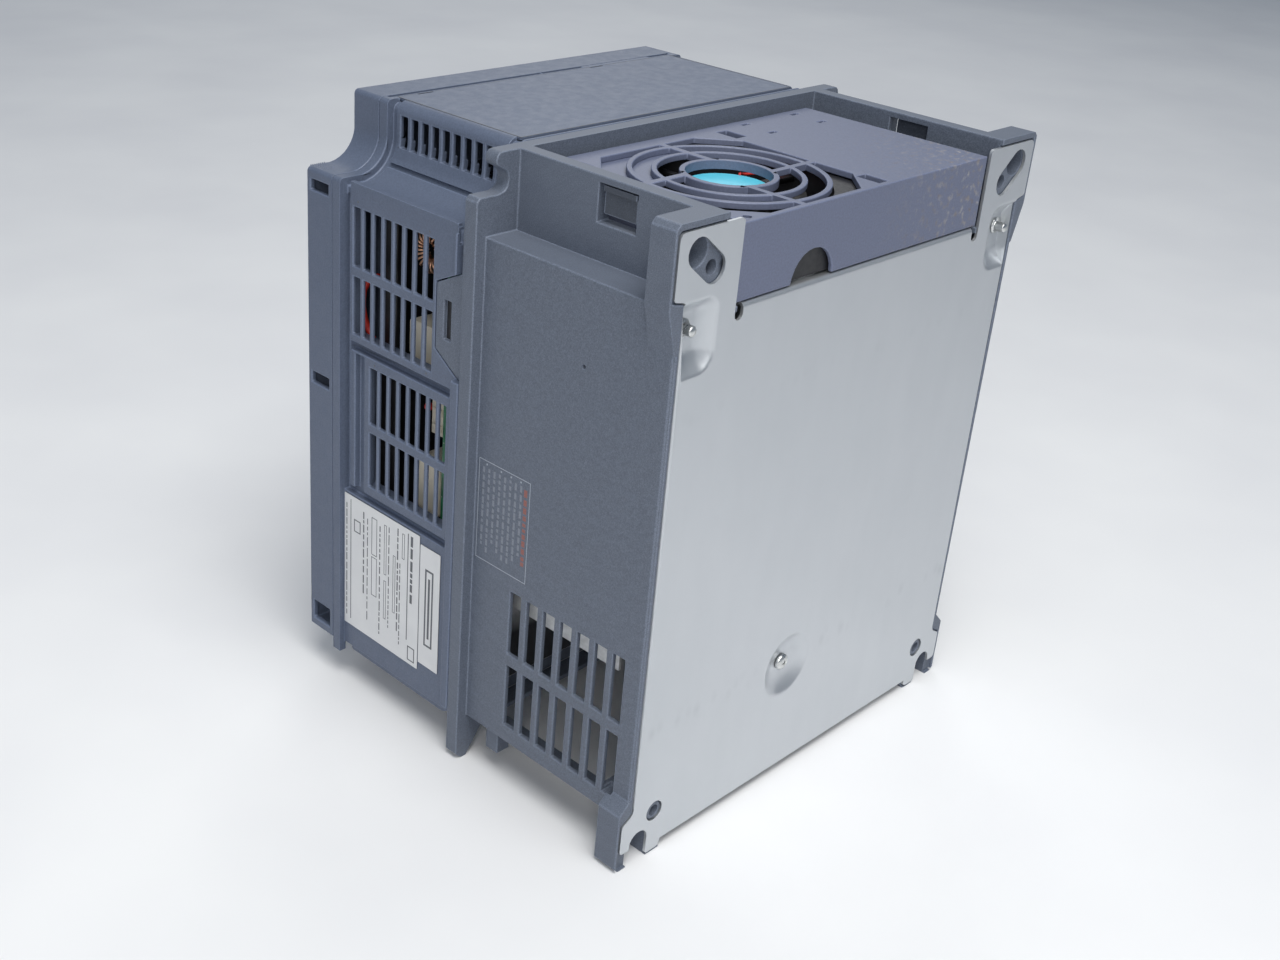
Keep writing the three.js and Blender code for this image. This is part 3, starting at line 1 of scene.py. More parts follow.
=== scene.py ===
"""Looks of a wall-mounting variable frequency drive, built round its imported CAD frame.

Metres, +Z up, front towards -Y, steel back plate towards +Y. The sections below are: camera, light and floor;
material helpers; materials; mesh helpers; rounded CAD shapes; steel plate and screws; fan; printed surfaces;
seams and small mouldings; keypad; parts inside; assembly.
"""
import json
import math
import random

import bmesh
import bpy
import numpy as np
from mathutils import Matrix, Vector, geometry

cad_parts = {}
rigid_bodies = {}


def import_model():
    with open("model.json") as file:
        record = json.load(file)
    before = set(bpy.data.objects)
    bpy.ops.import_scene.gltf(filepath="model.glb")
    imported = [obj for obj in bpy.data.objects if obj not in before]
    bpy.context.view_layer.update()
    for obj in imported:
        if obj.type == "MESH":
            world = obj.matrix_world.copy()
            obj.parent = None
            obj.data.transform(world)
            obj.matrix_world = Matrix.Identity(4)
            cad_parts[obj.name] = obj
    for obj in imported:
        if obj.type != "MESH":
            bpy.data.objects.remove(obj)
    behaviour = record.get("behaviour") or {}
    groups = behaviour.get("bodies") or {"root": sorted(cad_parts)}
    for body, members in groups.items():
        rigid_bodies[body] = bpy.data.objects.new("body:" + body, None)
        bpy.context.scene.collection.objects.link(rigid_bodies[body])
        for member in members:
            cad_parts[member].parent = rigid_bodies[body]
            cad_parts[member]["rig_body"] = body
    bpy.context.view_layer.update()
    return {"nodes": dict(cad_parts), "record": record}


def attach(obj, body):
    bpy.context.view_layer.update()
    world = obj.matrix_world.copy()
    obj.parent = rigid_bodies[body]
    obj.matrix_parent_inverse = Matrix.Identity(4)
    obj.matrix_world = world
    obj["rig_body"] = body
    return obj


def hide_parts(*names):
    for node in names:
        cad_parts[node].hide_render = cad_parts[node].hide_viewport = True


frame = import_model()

MM = 0.001
NODES = frame["nodes"]
SIDES = (("right", 1), ("left", -1))


# ---- Camera, light and floor ----
CAMERA_PLACE = (0.4697, 0.3975, 0.4073)
CAMERA_AZIMUTH = 133.454
CAMERA_ELEVATION = 25.886
CAMERA_ROLL = 4.050
CAMERA_LENS = 43.75
CAMERA_SHIFT = (0.0567, -0.0247)


def look_back(azimuth, elevation):
    """Unit vector from the drive towards a viewer at this azimuth and elevation in degrees."""
    a, e = math.radians(azimuth), math.radians(elevation)
    return Vector((math.sin(a) * math.cos(e), -math.cos(a) * math.cos(e), math.sin(e)))


def put_in_scene(name, data):
    """New object that holds this mesh, light or camera."""
    thing = bpy.data.objects.new(name, data)
    bpy.context.scene.collection.objects.link(thing)
    return thing


def make_camera():
    back = look_back(CAMERA_AZIMUTH, CAMERA_ELEVATION)
    level_axis = Vector((0, 0, 1)).cross(back).normalized()
    above = back.cross(level_axis)
    roll = math.radians(CAMERA_ROLL)
    right = level_axis * math.cos(roll) + above * math.sin(roll)
    up = back.cross(right)
    data = bpy.data.cameras.new("camera")
    data.lens = CAMERA_LENS
    data.sensor_width = 36
    data.shift_x, data.shift_y = CAMERA_SHIFT
    data.clip_start = 0.02
    camera = put_in_scene("camera", data)
    axes = Matrix((right, up, back)).transposed().to_4x4()
    camera.matrix_world = Matrix.Translation(CAMERA_PLACE) @ axes
    bpy.context.scene.camera = camera


def make_area_light(name, azimuth, elevation, distance, size, watts, colour):
    data = bpy.data.lights.new(name, "AREA")
    data.shape = "DISK"
    data.size = size
    data.energy = watts
    data.color = colour
    light = put_in_scene(name, data)
    back = look_back(azimuth, elevation)
    light.location = Vector((0, 0, 0.13)) + back * distance
    light.rotation_mode = "QUATERNION"
    light.rotation_quaternion = (-back).to_track_quat("-Z", "Y")


def make_studio():
    world = bpy.data.worlds.new("studio")
    bpy.context.scene.world = world
    world.use_nodes = True
    background = world.node_tree.nodes["Background"]
    feed(background, "Color", (0.66, 0.80, 1.0))
    feed(background, "Strength", 0.24)
    make_area_light("overhead_softbox", 150, 66, 1.7, 1.2, 28, (1.0, 0.985, 0.955))
    make_area_light("viewer_softbox", 128, 26, 2.1, 0.9, 13, (1.0, 0.985, 0.96))
    make_area_light("far_softbox", 315, 34, 2.4, 1.2, 8, (1.0, 0.99, 0.97))
    bpy.context.scene.view_settings.view_transform = "Standard"


def make_floor():
    bm = bmesh.new()
    bmesh.ops.create_circle(bm, cap_ends=True, radius=6, segments=96)
    floor = put_in_scene("floor", mesh_from(bm, "floor"))
    material, tree, shader = start_material("floor_paper", 0.9)
    tone = noise_factor(tree, 6, detail=3)
    feed(shader, "Base Color", ramp(tree, tone, (0.76, 0.765, 0.78), (0.82, 0.825, 0.83)))
    floor.data.materials.append(material)


# ---- Material helpers ----
def set_socket(socket, value):
    """Gives a socket a number, a colour or another node's output."""
    if isinstance(value, bpy.types.NodeSocket):
        socket.id_data.links.new(value, socket)
    elif socket.type == "RGBA":
        socket.default_value = (*value, 1)
    else:
        socket.default_value = value


def feed(node, name, value):
    set_socket(node.inputs[name], value)


def make_node(tree, kind, **inputs):
    """New node with these inputs, such as from_min for the socket From Min."""
    node = tree.nodes.new(f"ShaderNode{kind}")
    for name, value in inputs.items():
        feed(node, name.replace("_", " ").title(), value)
    return node


def start_material(name, roughness, metallic=0.0):
    material = bpy.data.materials.new(name)
    material.use_nodes = True
    shader = material.node_tree.nodes["Principled BSDF"]
    feed(shader, "Roughness", roughness)
    feed(shader, "Metallic", metallic)
    return material, material.node_tree, shader


def place_of(tree):
    """Position on the drive in metres."""
    return make_node(tree, "TexCoord").outputs["Object"]


def normal_of(tree):
    return make_node(tree, "TexCoord").outputs["Normal"]


def axis_of(tree, axis, vector=None):
    return make_node(tree, "SeparateXYZ", vector=vector or place_of(tree)).outputs[axis]


def stretched(tree, scale, vector=None):
    return make_node(tree, "Mapping", vector=vector or place_of(tree), scale=scale).outputs["Vector"]


def noise_factor(tree, scale, detail=2.0, vector=None, distortion=0.0):
    vector = vector or place_of(tree)
    node = make_node(tree, "TexNoise", vector=vector, scale=scale, detail=detail, distortion=distortion)
    return node.outputs["Fac"]


def cells(tree, scale, vector=None):
    """Distance to the nearest point of a random point set."""
    return make_node(tree, "TexVoronoi", vector=vector or place_of(tree), scale=scale).outputs["Distance"]


def ramp(tree, factor, low_colour, high_colour, low=0.3, high=0.7):
    node = make_node(tree, "ValToRGB", fac=factor)
    first, last = node.color_ramp.elements
    first.position, last.position = low, high
    first.color = (*low_colour, 1)
    last.color = (*high_colour, 1)
    return node.outputs["Color"]


def level(tree, factor, low_value, high_value, low=0.3, high=0.7):
    """A number that goes from low_value to high_value as the factor crosses low to high."""
    node = make_node(
        tree, "MapRange", value=factor, from_min=low, from_max=high, to_min=low_value, to_max=high_value
    )
    return node.outputs["Result"]


def combine(tree, kind, *values):
    """Math node: each value is a number or a socket."""
    node = make_node(tree, "Math")
    node.operation = kind
    for socket, value in zip(node.inputs, values):
        set_socket(socket, value)
    return node.outputs["Value"]


def blend(tree, factor, under, over, kind="MIX"):
    node = make_node(tree, "Mix")
    node.data_type = "RGBA"
    node.blend_type = kind
    sockets = {socket.identifier: socket for socket in (*node.inputs, *node.outputs)}
    for name, value in (("Factor_Float", factor), ("A_Color", under), ("B_Color", over)):
        set_socket(sockets[name], value)
    return sockets["Result_Color"]


def raise_surface(tree, shader, height, strength, distance):
    node = make_node(tree, "Bump", height=height, strength=strength, distance=distance)
    feed(shader, "Normal", node.outputs["Normal"])


def band(tree, value, centre, half_width):
    """1 at the centre of a band, falling smoothly to 0 at its edges."""
    off = combine(tree, "ABSOLUTE", combine(tree, "SUBTRACT", value, centre))
    return level(tree, off, 1, 0, 0, half_width)


def shade(colour, factor):
    return tuple(channel * factor for channel in colour)


# ---- Materials ----
HOUSING_BLUE = (0.100, 0.124, 0.180)
CASE_BLUE = (0.106, 0.125, 0.164)
FAN_COVER_BLUE = (0.120, 0.138, 0.208)
FLOW_GATE = {"y": 0.057, "z": 0.197}
SMUDGE_ROWS = {"low": 0.0595, "high": 0.189}
# Heights in metres over which the painted shade on the fins' lower ends fades out
FIN_SHADE = {"z0": 0.052, "z1": 0.066}


def moulded_plastic(name, roughness=0.5, brightness=1.0):
    """Textured blue-grey moulding: fine speckle, soft cloudy tone and a spark-eroded grain."""
    material, tree, shader = start_material(name, roughness)
    fine = noise_factor(tree, 1500, detail=1)
    base = ramp(tree, fine, shade(HOUSING_BLUE, brightness * 0.9), shade(HOUSING_BLUE, brightness * 1.1))
    cloud = ramp(tree, noise_factor(tree, 22, detail=4), (0.93, 0.93, 0.94), (1, 1, 1))
    feed(shader, "Base Color", blend(tree, 1.0, base, cloud, "MULTIPLY"))
    sheen = noise_factor(tree, 260, detail=3)
    feed(shader, "Roughness", level(tree, sheen, roughness - 0.05, roughness + 0.07))
    raise_surface(tree, shader, noise_factor(tree, 2400, detail=2), 0.25, 0.0001)
    return material


def flow_streaks(tree):
    """Streaks that circle the moulding gate of each side wall, as a factor from 0 to 1."""
    along = combine(tree, "SUBTRACT", axis_of(tree, "Y"), FLOW_GATE["y"])
    upward = combine(tree, "SUBTRACT", axis_of(tree, "Z"), FLOW_GATE["z"])
    squares = combine(
        tree, "ADD", combine(tree, "MULTIPLY", along, along), combine(tree, "MULTIPLY", upward, upward)
    )
    rings = combine(tree, "MULTIPLY", combine(tree, "SQRT", squares), 620)
    spokes = combine(tree, "MULTIPLY", combine(tree, "ARCTAN2", upward, along), 9)
    polar = make_node(tree, "CombineXYZ", x=rings, y=spokes)
    return noise_factor(tree, 1.0, detail=3, vector=polar.outputs["Vector"], distortion=0.4)


def glass_filled_plastic(name, brightness=1.0):
    """Rear case moulding: fine fibre speckle, and on the side walls faint flow streaks round the gate."""
    material, tree, shader = start_material(name, 0.55)
    specks = noise_factor(tree, 2300, detail=2)
    base = ramp(tree, specks, shade(CASE_BLUE, brightness * 0.74), shade(CASE_BLUE, brightness * 1.28))
    pale = level(tree, cells(tree, 900), 1, 0, 0.05, 0.13)
    dotted = blend(tree, combine(tree, "MULTIPLY", pale, 0.35), base, (0.34, 0.37, 0.41))
    side_wall = level(
        tree, combine(tree, "ABSOLUTE", axis_of(tree, "X", normal_of(tree))), 0, 0.6, 0.7, 0.95
    )
    streaked = ramp(tree, flow_streaks(tree), (0.90, 0.905, 0.915), (1.07, 1.07, 1.06), 0.34, 0.66)
    feed(shader, "Base Color", blend(tree, side_wall, dotted, streaked, "MULTIPLY"))
    feed(shader, "Roughness", level(tree, specks, 0.47, 0.62))
    raise_surface(tree, shader, noise_factor(tree, 2000, detail=3), 0.3, 0.0001)
    return material


def dusty_cover_plastic(name, brightness=1.0):
    """Fan cover moulding with pale and brown dust specks towards its far rear corner."""
    material, tree, shader = start_material(name, 0.5)
    base = ramp(
        tree, noise_factor(tree, 1300, detail=1),
        shade(FAN_COVER_BLUE, brightness * 0.92), shade(FAN_COVER_BLUE, brightness * 1.08),
    )
    corner = combine(
        tree, "MULTIPLY",
        level(tree, axis_of(tree, "X"), 1, 0, -0.08, 0.0),
        level(tree, axis_of(tree, "Y"), 0, 1, 0.035, 0.095),
    )
    patches = level(tree, noise_factor(tree, 420, detail=6), 0, 1, 0.52, 0.66)
    dust = combine(tree, "MULTIPLY", combine(tree, "MULTIPLY", corner, patches), 0.7)
    dust_colour = ramp(tree, noise_factor(tree, 240, detail=2), (0.20, 0.155, 0.115), (0.42, 0.40, 0.38))
    feed(shader, "Base Color", blend(tree, dust, base, dust_colour))
    feed(shader, "Roughness", level(tree, dust, 0.47, 0.8, 0, 0.6))
    raise_surface(tree, shader, noise_factor(tree, 2200, detail=2), 0.22, 0.0001)
    return material


def galvanised_steel(name, brightness=1.0):
    """Satin zinc-coated sheet, very slightly cloudy, with two rows of faint handling smudges."""
    material, tree, shader = start_material(name, 0.4, metallic=0.85)
    cloud = noise_factor(tree, 14, detail=4, distortion=0.4)
    low, high = shade((0.56, 0.585, 0.61), brightness), shade((0.59, 0.61, 0.635), brightness)
    base = ramp(tree, cloud, low, high, 0.25, 0.75)
    height = axis_of(tree, "Z")
    row = combine(
        tree, "ADD",
        band(tree, height, SMUDGE_ROWS["low"], 0.006),
        combine(tree, "MULTIPLY", band(tree, height, SMUDGE_ROWS["high"], 0.004), 0.35),
    )
    blots = level(tree, cells(tree, 150, stretched(tree, (1.2, 0, 0.6))), 1, 0, 0.1, 0.5)
    smudge = combine(tree, "MULTIPLY", combine(tree, "MULTIPLY", row, blots), 0.16)
    feed(shader, "Base Color", blend(tree, smudge, base, (0.27, 0.29, 0.32)))
    wipes = noise_factor(tree, 120, detail=4, vector=stretched(tree, (1, 1, 0.25)))
    feed(shader, "Roughness", level(tree, wipes, 0.38, 0.44))
    raise_surface(tree, shader, noise_factor(tree, 900, detail=3), 0.05, 0.00005)
    return material


def bright_metal(name, colour, roughness=0.28, metallic=1.0):
    """Plated or sawn metal with fine uneven polish."""
    material, tree, shader = start_material(name, roughness, metallic)
    tone = noise_factor(tree, 420, detail=4)
    feed(shader, "Base Color", ramp(tree, tone, shade(colour, 0.84), colour))
    lines = noise_factor(tree, 700, detail=3, vector=stretched(tree, (1, 1, 0.08)))
    feed(shader, "Roughness", level(tree, lines, roughness - 0.06, roughness + 0.12))
    raise_surface(tree, shader, lines, 0.3, 0.00004)
    return material


def fin_metal(name):
    """Sawn aluminium fins whose lower ends carry painted shade, dark for the shadowed cavity below them."""
    material, tree, shader = start_material(name, 0.5, 0.35)
    tone = noise_factor(tree, 420, detail=4)
    bare = ramp(tree, tone, (0.68, 0.69, 0.70), (0.86, 0.87, 0.88))
    # Painted shade: the fins go near black towards their lower ends
    out_of_shade = level(tree, axis_of(tree, "Z"), 0, 1, FIN_SHADE["z0"], FIN_SHADE["z1"])
    feed(shader, "Base Color", blend(tree, out_of_shade, (0.05, 0.053, 0.06), bare))
    raise_surface(tree, shader, noise_factor(tree, 700, detail=3), 0.3, 0.00004)
    return material


def smooth_plastic(name, colour, roughness=0.45, variety=0.1, coat=0.0):
    """Small moulded part: slight tone change and a faint grain."""
    material, tree, shader = start_material(name, roughness)
    tone = noise_factor(tree, 180, detail=4)
    feed(shader, "Base Color", ramp(tree, tone, shade(colour, 1 - variety), shade(colour, 1 + variety)))
    sheen = noise_factor(tree, 500, detail=2)
    feed(shader, "Roughness", level(tree, sheen, roughness - 0.05, roughness + 0.08))
    feed(shader, "Coat Weight", coat)
    raise_surface(tree, shader, noise_factor(tree, 1800, detail=2), 0.12, 0.00008)
    return material


def circuit_board(name):
    """Green solder mask with fine traces and pale pads."""
    material, tree, shader = start_material(name, 0.35)
    spread = stretched(tree, (1, 1, 0.35))
    traces = level(tree, cells(tree, 260, spread), 0, 1, 0.42, 0.5)
    mask = blend(tree, traces, (0.012, 0.105, 0.045), (0.03, 0.19, 0.085))
    pads = level(tree, cells(tree, 420), 1, 0, 0.09, 0.12)
    feed(shader, "Base Color", blend(tree, pads, mask, (0.62, 0.6, 0.52)))
    feed(shader, "Coat Weight", 0.35)
    raise_surface(tree, shader, traces, 0.2, 0.00004)
    return material


def label_film(name):
    """Satin white label film, faintly mottled."""
    material, tree, shader = start_material(name, 0.42)
    tone = noise_factor(tree, 90, detail=3)
    feed(shader, "Base Color", ramp(tree, tone, (0.62, 0.625, 0.635), (0.66, 0.665, 0.67)))
    raise_surface(tree, shader, noise_factor(tree, 300, detail=2), 0.05, 0.00005)
    return material


def printing_ink(name, colour):
    """Thin ink film that covers unevenly."""
    material, tree, shader = start_material(name, 0.5)
    cover = noise_factor(tree, 2600, detail=3)
    feed(shader, "Base Color", ramp(tree, cover, shade(colour, 0.8), shade(colour, 1.2)))
    feed(shader, "Roughness", level(tree, cover, 0.42, 0.6))
    return material


SLOT_MATERIALS = {
    "housing": moulded_plastic("housing_plastic"),
    "rear_case": glass_filled_plastic("rear_case_plastic"),
    "fan_cover": dusty_cover_plastic("fan_cover_plastic"),
    "steel_plate": galvanised_steel("galvanised_steel"),
    "zinc": bright_metal("zinc_plating", (0.72, 0.73, 0.72)),
    "aluminium": bright_metal("sawn_aluminium", (0.80, 0.81, 0.82), 0.5, metallic=0.35),
    "black_plastic": smooth_plastic("black_plastic", (0.012, 0.012, 0.014), 0.42, 0.25),
    "keypad_shell": smooth_plastic("keypad_plastic", (0.045, 0.052, 0.078), 0.48),
    "display": smooth_plastic("display_window", (0.018, 0.006, 0.007), 0.12, 0.1, 0.8),
    "key_grey": smooth_plastic("grey_key_rubber", (0.38, 0.40, 0.44), 0.55, 0.05),
    "key_green": smooth_plastic("green_key_rubber", (0.03, 0.24, 0.10), 0.55, 0.05),
    "key_red": smooth_plastic("red_key_rubber", (0.42, 0.045, 0.035), 0.55, 0.05),
    "label": label_film("label_film"),
    "cyan_label": smooth_plastic("cyan_label_film", (0.10, 0.52, 0.68), 0.38, 0.05),
    "board": circuit_board("circuit_board"),
    "cream": smooth_plastic("natural_plastic", (0.62, 0.57, 0.47), 0.5, 0.06),
    "capacitor": smooth_plastic("capacitor_sleeve", (0.022, 0.027, 0.045), 0.3, 0.1, 0.3),
    "tape": smooth_plastic("winding_tape", (0.60, 0.36, 0.05), 0.4, 0.08, 0.3),
    "rubber": smooth_plastic("black_rubber", (0.016, 0.016, 0.017), 0.8, 0.15),
    "red_wire": smooth_plastic("red_insulation", (0.55, 0.035, 0.025), 0.4, 0.08),
    "copper": bright_metal("copper_bar", (0.72, 0.42, 0.28), 0.35),
    "blue_relay": smooth_plastic("blue_plastic", (0.04, 0.13, 0.38), 0.42, 0.08),
    "lamp": smooth_plastic("lamp_lens", (0.55, 0.05, 0.03), 0.2, 0.05, 0.5),
}
# Lighter copies for the rounded edges: partly wear, partly a painted highlight where the edges catch the
# light
EDGE_WEAR_AND_HIGHLIGHT = {
    "housing": moulded_plastic("housing_edge", roughness=0.45, brightness=1.3),
    "rear_case": glass_filled_plastic("rear_case_edge", brightness=1.25),
    "fan_cover": dusty_cover_plastic("fan_cover_edge", brightness=1.2),
}
LATCH_PLASTIC = glass_filled_plastic("latch_plastic", brightness=0.5)
OWN_MATERIALS = {
    "heat_sink": fin_metal("fin_metal"),
    "cover_latch_right": LATCH_PLASTIC,
    "cover_latch_left": LATCH_PLASTIC,
}
DARK_INK = printing_ink("dark_ink", (0.10, 0.105, 0.12))
PALE_INK = printing_ink("pale_ink", (0.34, 0.37, 0.42))
FAINT_INK = printing_ink("faint_ink", (0.19, 0.21, 0.25))
RED_INK = printing_ink("red_ink", (0.26, 0.10, 0.085))
GHOST_RED = printing_ink("unlit_segment", (0.05, 0.018, 0.018))


# ---- Mesh helpers ----
def mesh_from(bm, name):
    mesh = bpy.data.meshes.new(name)
    bm.to_mesh(mesh)
    bm.free()
    return mesh


def add_piece(bm, name, slot, body="housing", smooth=True, material=None):
    """Turns a bmesh into a shown piece that rides on a body, in its slot's material or its own."""
    bm.normal_update()
    mesh = mesh_from(bm, name)
    if smooth:
        mesh.shade_smooth()
    mesh.materials.append(material or SLOT_MATERIALS[slot])
    piece = put_in_scene(name, mesh)
    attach(piece, body)
    return piece


def stand_in(bm, name, node, slot, material=None):
    """Shown piece that stands for a CAD node and rides with it."""
    piece = add_piece(bm, name, slot, NODES[node]["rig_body"], material=material)
    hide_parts(node)
    return piece


def slab_piece(name, slot, slabs, body="housing", bevel=0, segments=1, material=None):
    """Piece made of boxes, each given by two corners in mm, with its edges bevelled by this many mm."""
    bm = bmesh.new()
    for low, high in slabs:
        add_slab(bm, low, high)
    piece = add_piece(bm, name, slot, body, smooth=False, material=material)
    if bevel:
        add_bevel(piece, bevel * MM, segments)


def face_outwards(bm):
    bmesh.ops.recalc_face_normals(bm, faces=bm.faces)


def weigh_normals(piece, keep_sharp=False):
    """Shades by the large faces, so that small rounded edges look even."""
    normals = piece.modifiers.new("normals", "WEIGHTED_NORMAL")
    normals.weight = 100
    normals.keep_sharp = keep_sharp


def add_bevel(piece, width, segments=2, angle=35):
    bevel = piece.modifiers.new("round", "BEVEL")
    bevel.limit_method = "ANGLE"
    bevel.angle_limit = math.radians(angle)
    bevel.width = width
    bevel.segments = segments
    weigh_normals(piece)


def add_lathe(bm, profile, place, axis="Z", steps=48):
    """Surface of revolution through (radius, height) pairs in mm; a radius of 0 closes it with a point."""
    turn = {
        "Z": Matrix.Identity(3),
        "Y": Matrix(((1, 0, 0), (0, 0, 1), (0, -1, 0))),
        "X": Matrix(((0, 0, 1), (0, 1, 0), (-1, 0, 0))),
    }[axis]
    rings = []
    for radius, height in profile:
        count = 1 if radius == 0 else steps
        ring = []
        for index in range(count):
            angle = 2 * math.pi * index / steps
            local = Vector((radius * math.cos(angle), radius * math.sin(angle), height))
            ring.append(bm.verts.new((turn @ local + Vector(place)) * MM))
        rings.append(ring)
    for low, high in zip(rings, rings[1:]):
        for index in range(steps):
            after = (index + 1) % steps
            around = ((low, index), (low, after), (high, after), (high, index))
            bm.faces.new(list(dict.fromkeys(ring[k % len(ring)] for ring, k in around)))


def add_slab(bm, low, high):
    """Box between two corners in mm."""
    made = bmesh.ops.create_cube(bm, size=1)["verts"]
    centre = (Vector(low) + Vector(high)) / 2
    size = Vector(high) - Vector(low)
    for vert in made:
        vert.co = Vector(c + s * v for c, s, v in zip(centre, size, vert.co)) * MM
    return made


def add_tube(bm, path, radius, sides=10):
    """Closed tube along points in mm."""
    points = [Vector(p) for p in path]
    rings = []
    side = None
    for index, point in enumerate(points):
        ahead = points[min(index + 1, len(points) - 1)] - points[max(index - 1, 0)]
        ahead.normalize()
        if side is None:
            side = ahead.orthogonal().normalized()
        side = (side - ahead * side.dot(ahead)).normalized()
        up = ahead.cross(side)
        angles = [2 * math.pi * k / sides for k in range(sides)]
        rings.append([
            bm.verts.new((point + (side * math.cos(a) + up * math.sin(a)) * radius) * MM) for a in angles
        ])
    for low, high in zip(rings, rings[1:]):
        for k in range(sides):
            bm.faces.new((low[k], low[(k + 1) % sides], high[(k + 1) % sides], high[k]))
    bm.faces.new(list(reversed(rings[0])))
    bm.faces.new(rings[-1])


def smooth_path(points, steps=8):
    """Catmull-Rom curve through points in mm."""
    knots = [Vector(p) for p in points]
    knots = [2 * knots[0] - knots[1], *knots, 2 * knots[-1] - knots[-2]]
    path = []
    for a, b, c, d in zip(knots, knots[1:], knots[2:], knots[3:]):
        for step in range(steps):
            t = step / steps
            path.append(0.5 * (
                2 * b + (c - a) * t + (2 * a - 5 * b + 4 * c - d) * t ** 2 + (3 * b - a - 3 * c + d) * t ** 3
            ))
    return [*path, knots[-2]]


def bake(piece, modifier):
    """Works a modifier into the piece's mesh."""
    bpy.context.view_layer.update()
    shaped = bpy.data.meshes.new_from_object(piece.evaluated_get(bpy.context.evaluated_depsgraph_get()))
    piece.modifiers.remove(modifier)
    piece.data = shaped


def loose_object(bm, name):
    """Object that isn't a piece of the drive, such as a cutter."""
    face_outwards(bm)
    return put_in_scene(name, mesh_from(bm, name))


def subtract(piece, cutter):
    """Cuts one object's shape out of another and removes the cutter."""
    boolean = piece.modifiers.new("cut", "BOOLEAN")
    boolean.operation = "DIFFERENCE"
    boolean.solver = "EXACT"
    boolean.use_self = True
    boolean.object = cutter
    bake(piece, boolean)
    bpy.data.objects.remove(cutter)


# ---- Rounded CAD shapes ----
SHARP = math.radians(35)
FLAT = math.radians(2)
ROOM_SHARE = 0.42
LEAST_WEIGHT = 0.12
SLIVER = 0.03 * MM
# Nodes whose wide flats are cut again before and after the rounding
WIDE_FLATS = {"rear_case", "fan_cover", "front_cover", "top_panel", "wiring_guide", "board_tray"}


def melt_slivers(bm):
    """Merges each needle-thin triangle into its neighbour, since its own direction means nothing."""
    slivers = []
    for face in bm.faces:
        longest = max(face.edges, key=lambda edge: edge.calc_length())
        if len(face.verts) == 3 and 2 * face.calc_area() < SLIVER * longest.calc_length():
            slivers.append(longest)
    bmesh.ops.dissolve_edges(bm, edges=list(dict.fromkeys(slivers)), use_verts=False)


def clean_shape(name):
    """A CAD node's shape with doubled corners joined and its wide flats cut into well-shaped triangles."""
    bm = bmesh.new()
    bm.from_mesh(NODES[name].data)
    bmesh.ops.remove_doubles(bm, verts=bm.verts, dist=0.002 * MM)
    if name in WIDE_FLATS:
        melt_slivers(bm)
        bmesh.ops.dissolve_limit(bm, angle_limit=math.radians(1), verts=bm.verts, edges=bm.edges)
        bmesh.ops.triangulate(bm, faces=[face for face in bm.faces if len(face.verts) > 4])
    face_outwards(bm)
    return bm


def folded(edge, angle):
    """Whether an edge joins two faces at more than this angle."""
    return len(edge.link_faces) == 2 and edge.calc_face_angle(0) > angle


def gaps_between(edges):
    """Distance from each edge to the nearest of the others that shares no corner with it."""
    corners = np.array([[vert.index for vert in edge.verts] for edge in edges])
    starts, ends = (np.array([edge.verts[k].co for edge in edges]) for k in (0, 1))
    along = ends - starts
    touching = (corners[:, None, :, None] == corners[None, :, None, :]).any(axis=(2, 3))
    nearest = np.full(touching.shape, np.inf)
    for points in (starts, ends):
        share = ((points[:, None] - starts) * along).sum(2) / (along ** 2).sum(1)
        foot = starts + np.clip(share, 0, 1)[..., None] * along
        nearest = np.minimum(nearest, np.linalg.norm(points[:, None] - foot, axis=2))
    nearest = np.minimum(nearest, nearest.T)
    nearest[touching] = np.inf
    return nearest.min(axis=1)


def edge_room(bm):
    """Free width beside each folded edge, from its neighbours and from the flats it borders."""
    numbers = bm.faces.layers.int["flat"]
    room = {}
    borders = {}
    for edge in bm.edges:
        if folded(edge, SHARP):
            lengths = [
                other.calc_length() for vert in edge.verts for other in vert.link_edges
                if other != edge and folded(other, FLAT)
            ]
            room[edge] = min(lengths, default=1.0)
            for face in edge.link_faces:
                borders.setdefault(face[numbers], []).append(edge)
    for edges in borders.values():
        for edge, gap in zip(edges, gaps_between(edges)):
            room[edge] = min(room[edge], gap)
    return room


def number_flats(bm):
    """Gives each group of joined coplanar faces its own number."""
    numbers = bm.faces.layers.int.new("flat")
    count = 0
    for start in bm.faces:
        if start[numbers]:
            continue
        count += 1
        start[numbers] = count
        waiting = [start]
        while waiting:
            face = waiting.pop()
            for edge in face.edges:
                for other in edge.link_faces:
                    if not other[numbers] and other.normal.angle(start.normal, math.pi) < FLAT / 4:
                        other[numbers] = count
                        waiting.append(other)


def refill_flats(bm):
    """Fills each flat again inside its rounded border, since rounding can fold thin triangles over."""
    numbers = bm.faces.layers.int["flat"]
    groups = {}
    for face in bm.faces:
        if face.material_index == 0:
            groups.setdefault(face[numbers], []).append(face)
    for faces in groups.values():
        if len(faces) < 3:
            continue
        group = set(faces)
        normal = max(faces, key=lambda face: face.calc_area()).normal.copy()
        area = sum(face.calc_area() * face.normal.dot(normal) for face in faces)
        edges = dict.fromkeys(edge for face in faces for edge in face.edges)
        border = [edge for edge in edges if sum(face in group for face in edge.link_faces) == 1]
        old_corners = [list(face.verts) for face in faces]
        bmesh.ops.delete(bm, geom=faces, context="FACES_ONLY")
        filled = bmesh.ops.triangle_fill(bm, edges=border, use_beauty=True, normal=normal)["geom"]
        fresh = [item for item in filled if isinstance(item, bmesh.types.BMFace)]
        if abs(sum(face.calc_area() for face in fresh) - area) > 0.002 * area:
            bmesh.ops.delete(bm, geom=fresh, context="FACES_ONLY")
            fresh = [bm.faces.get(corners) or bm.faces.new(corners) for corners in old_corners]
        for face in fresh:
            face.smooth = True
            face.material_index = 0
            face.normal_update()
            if face.normal.dot(normal) < 0:
                face.normal_flip()
    bmesh.ops.delete(bm, geom=[edge for edge in bm.edges if not edge.link_faces], context="EDGES")


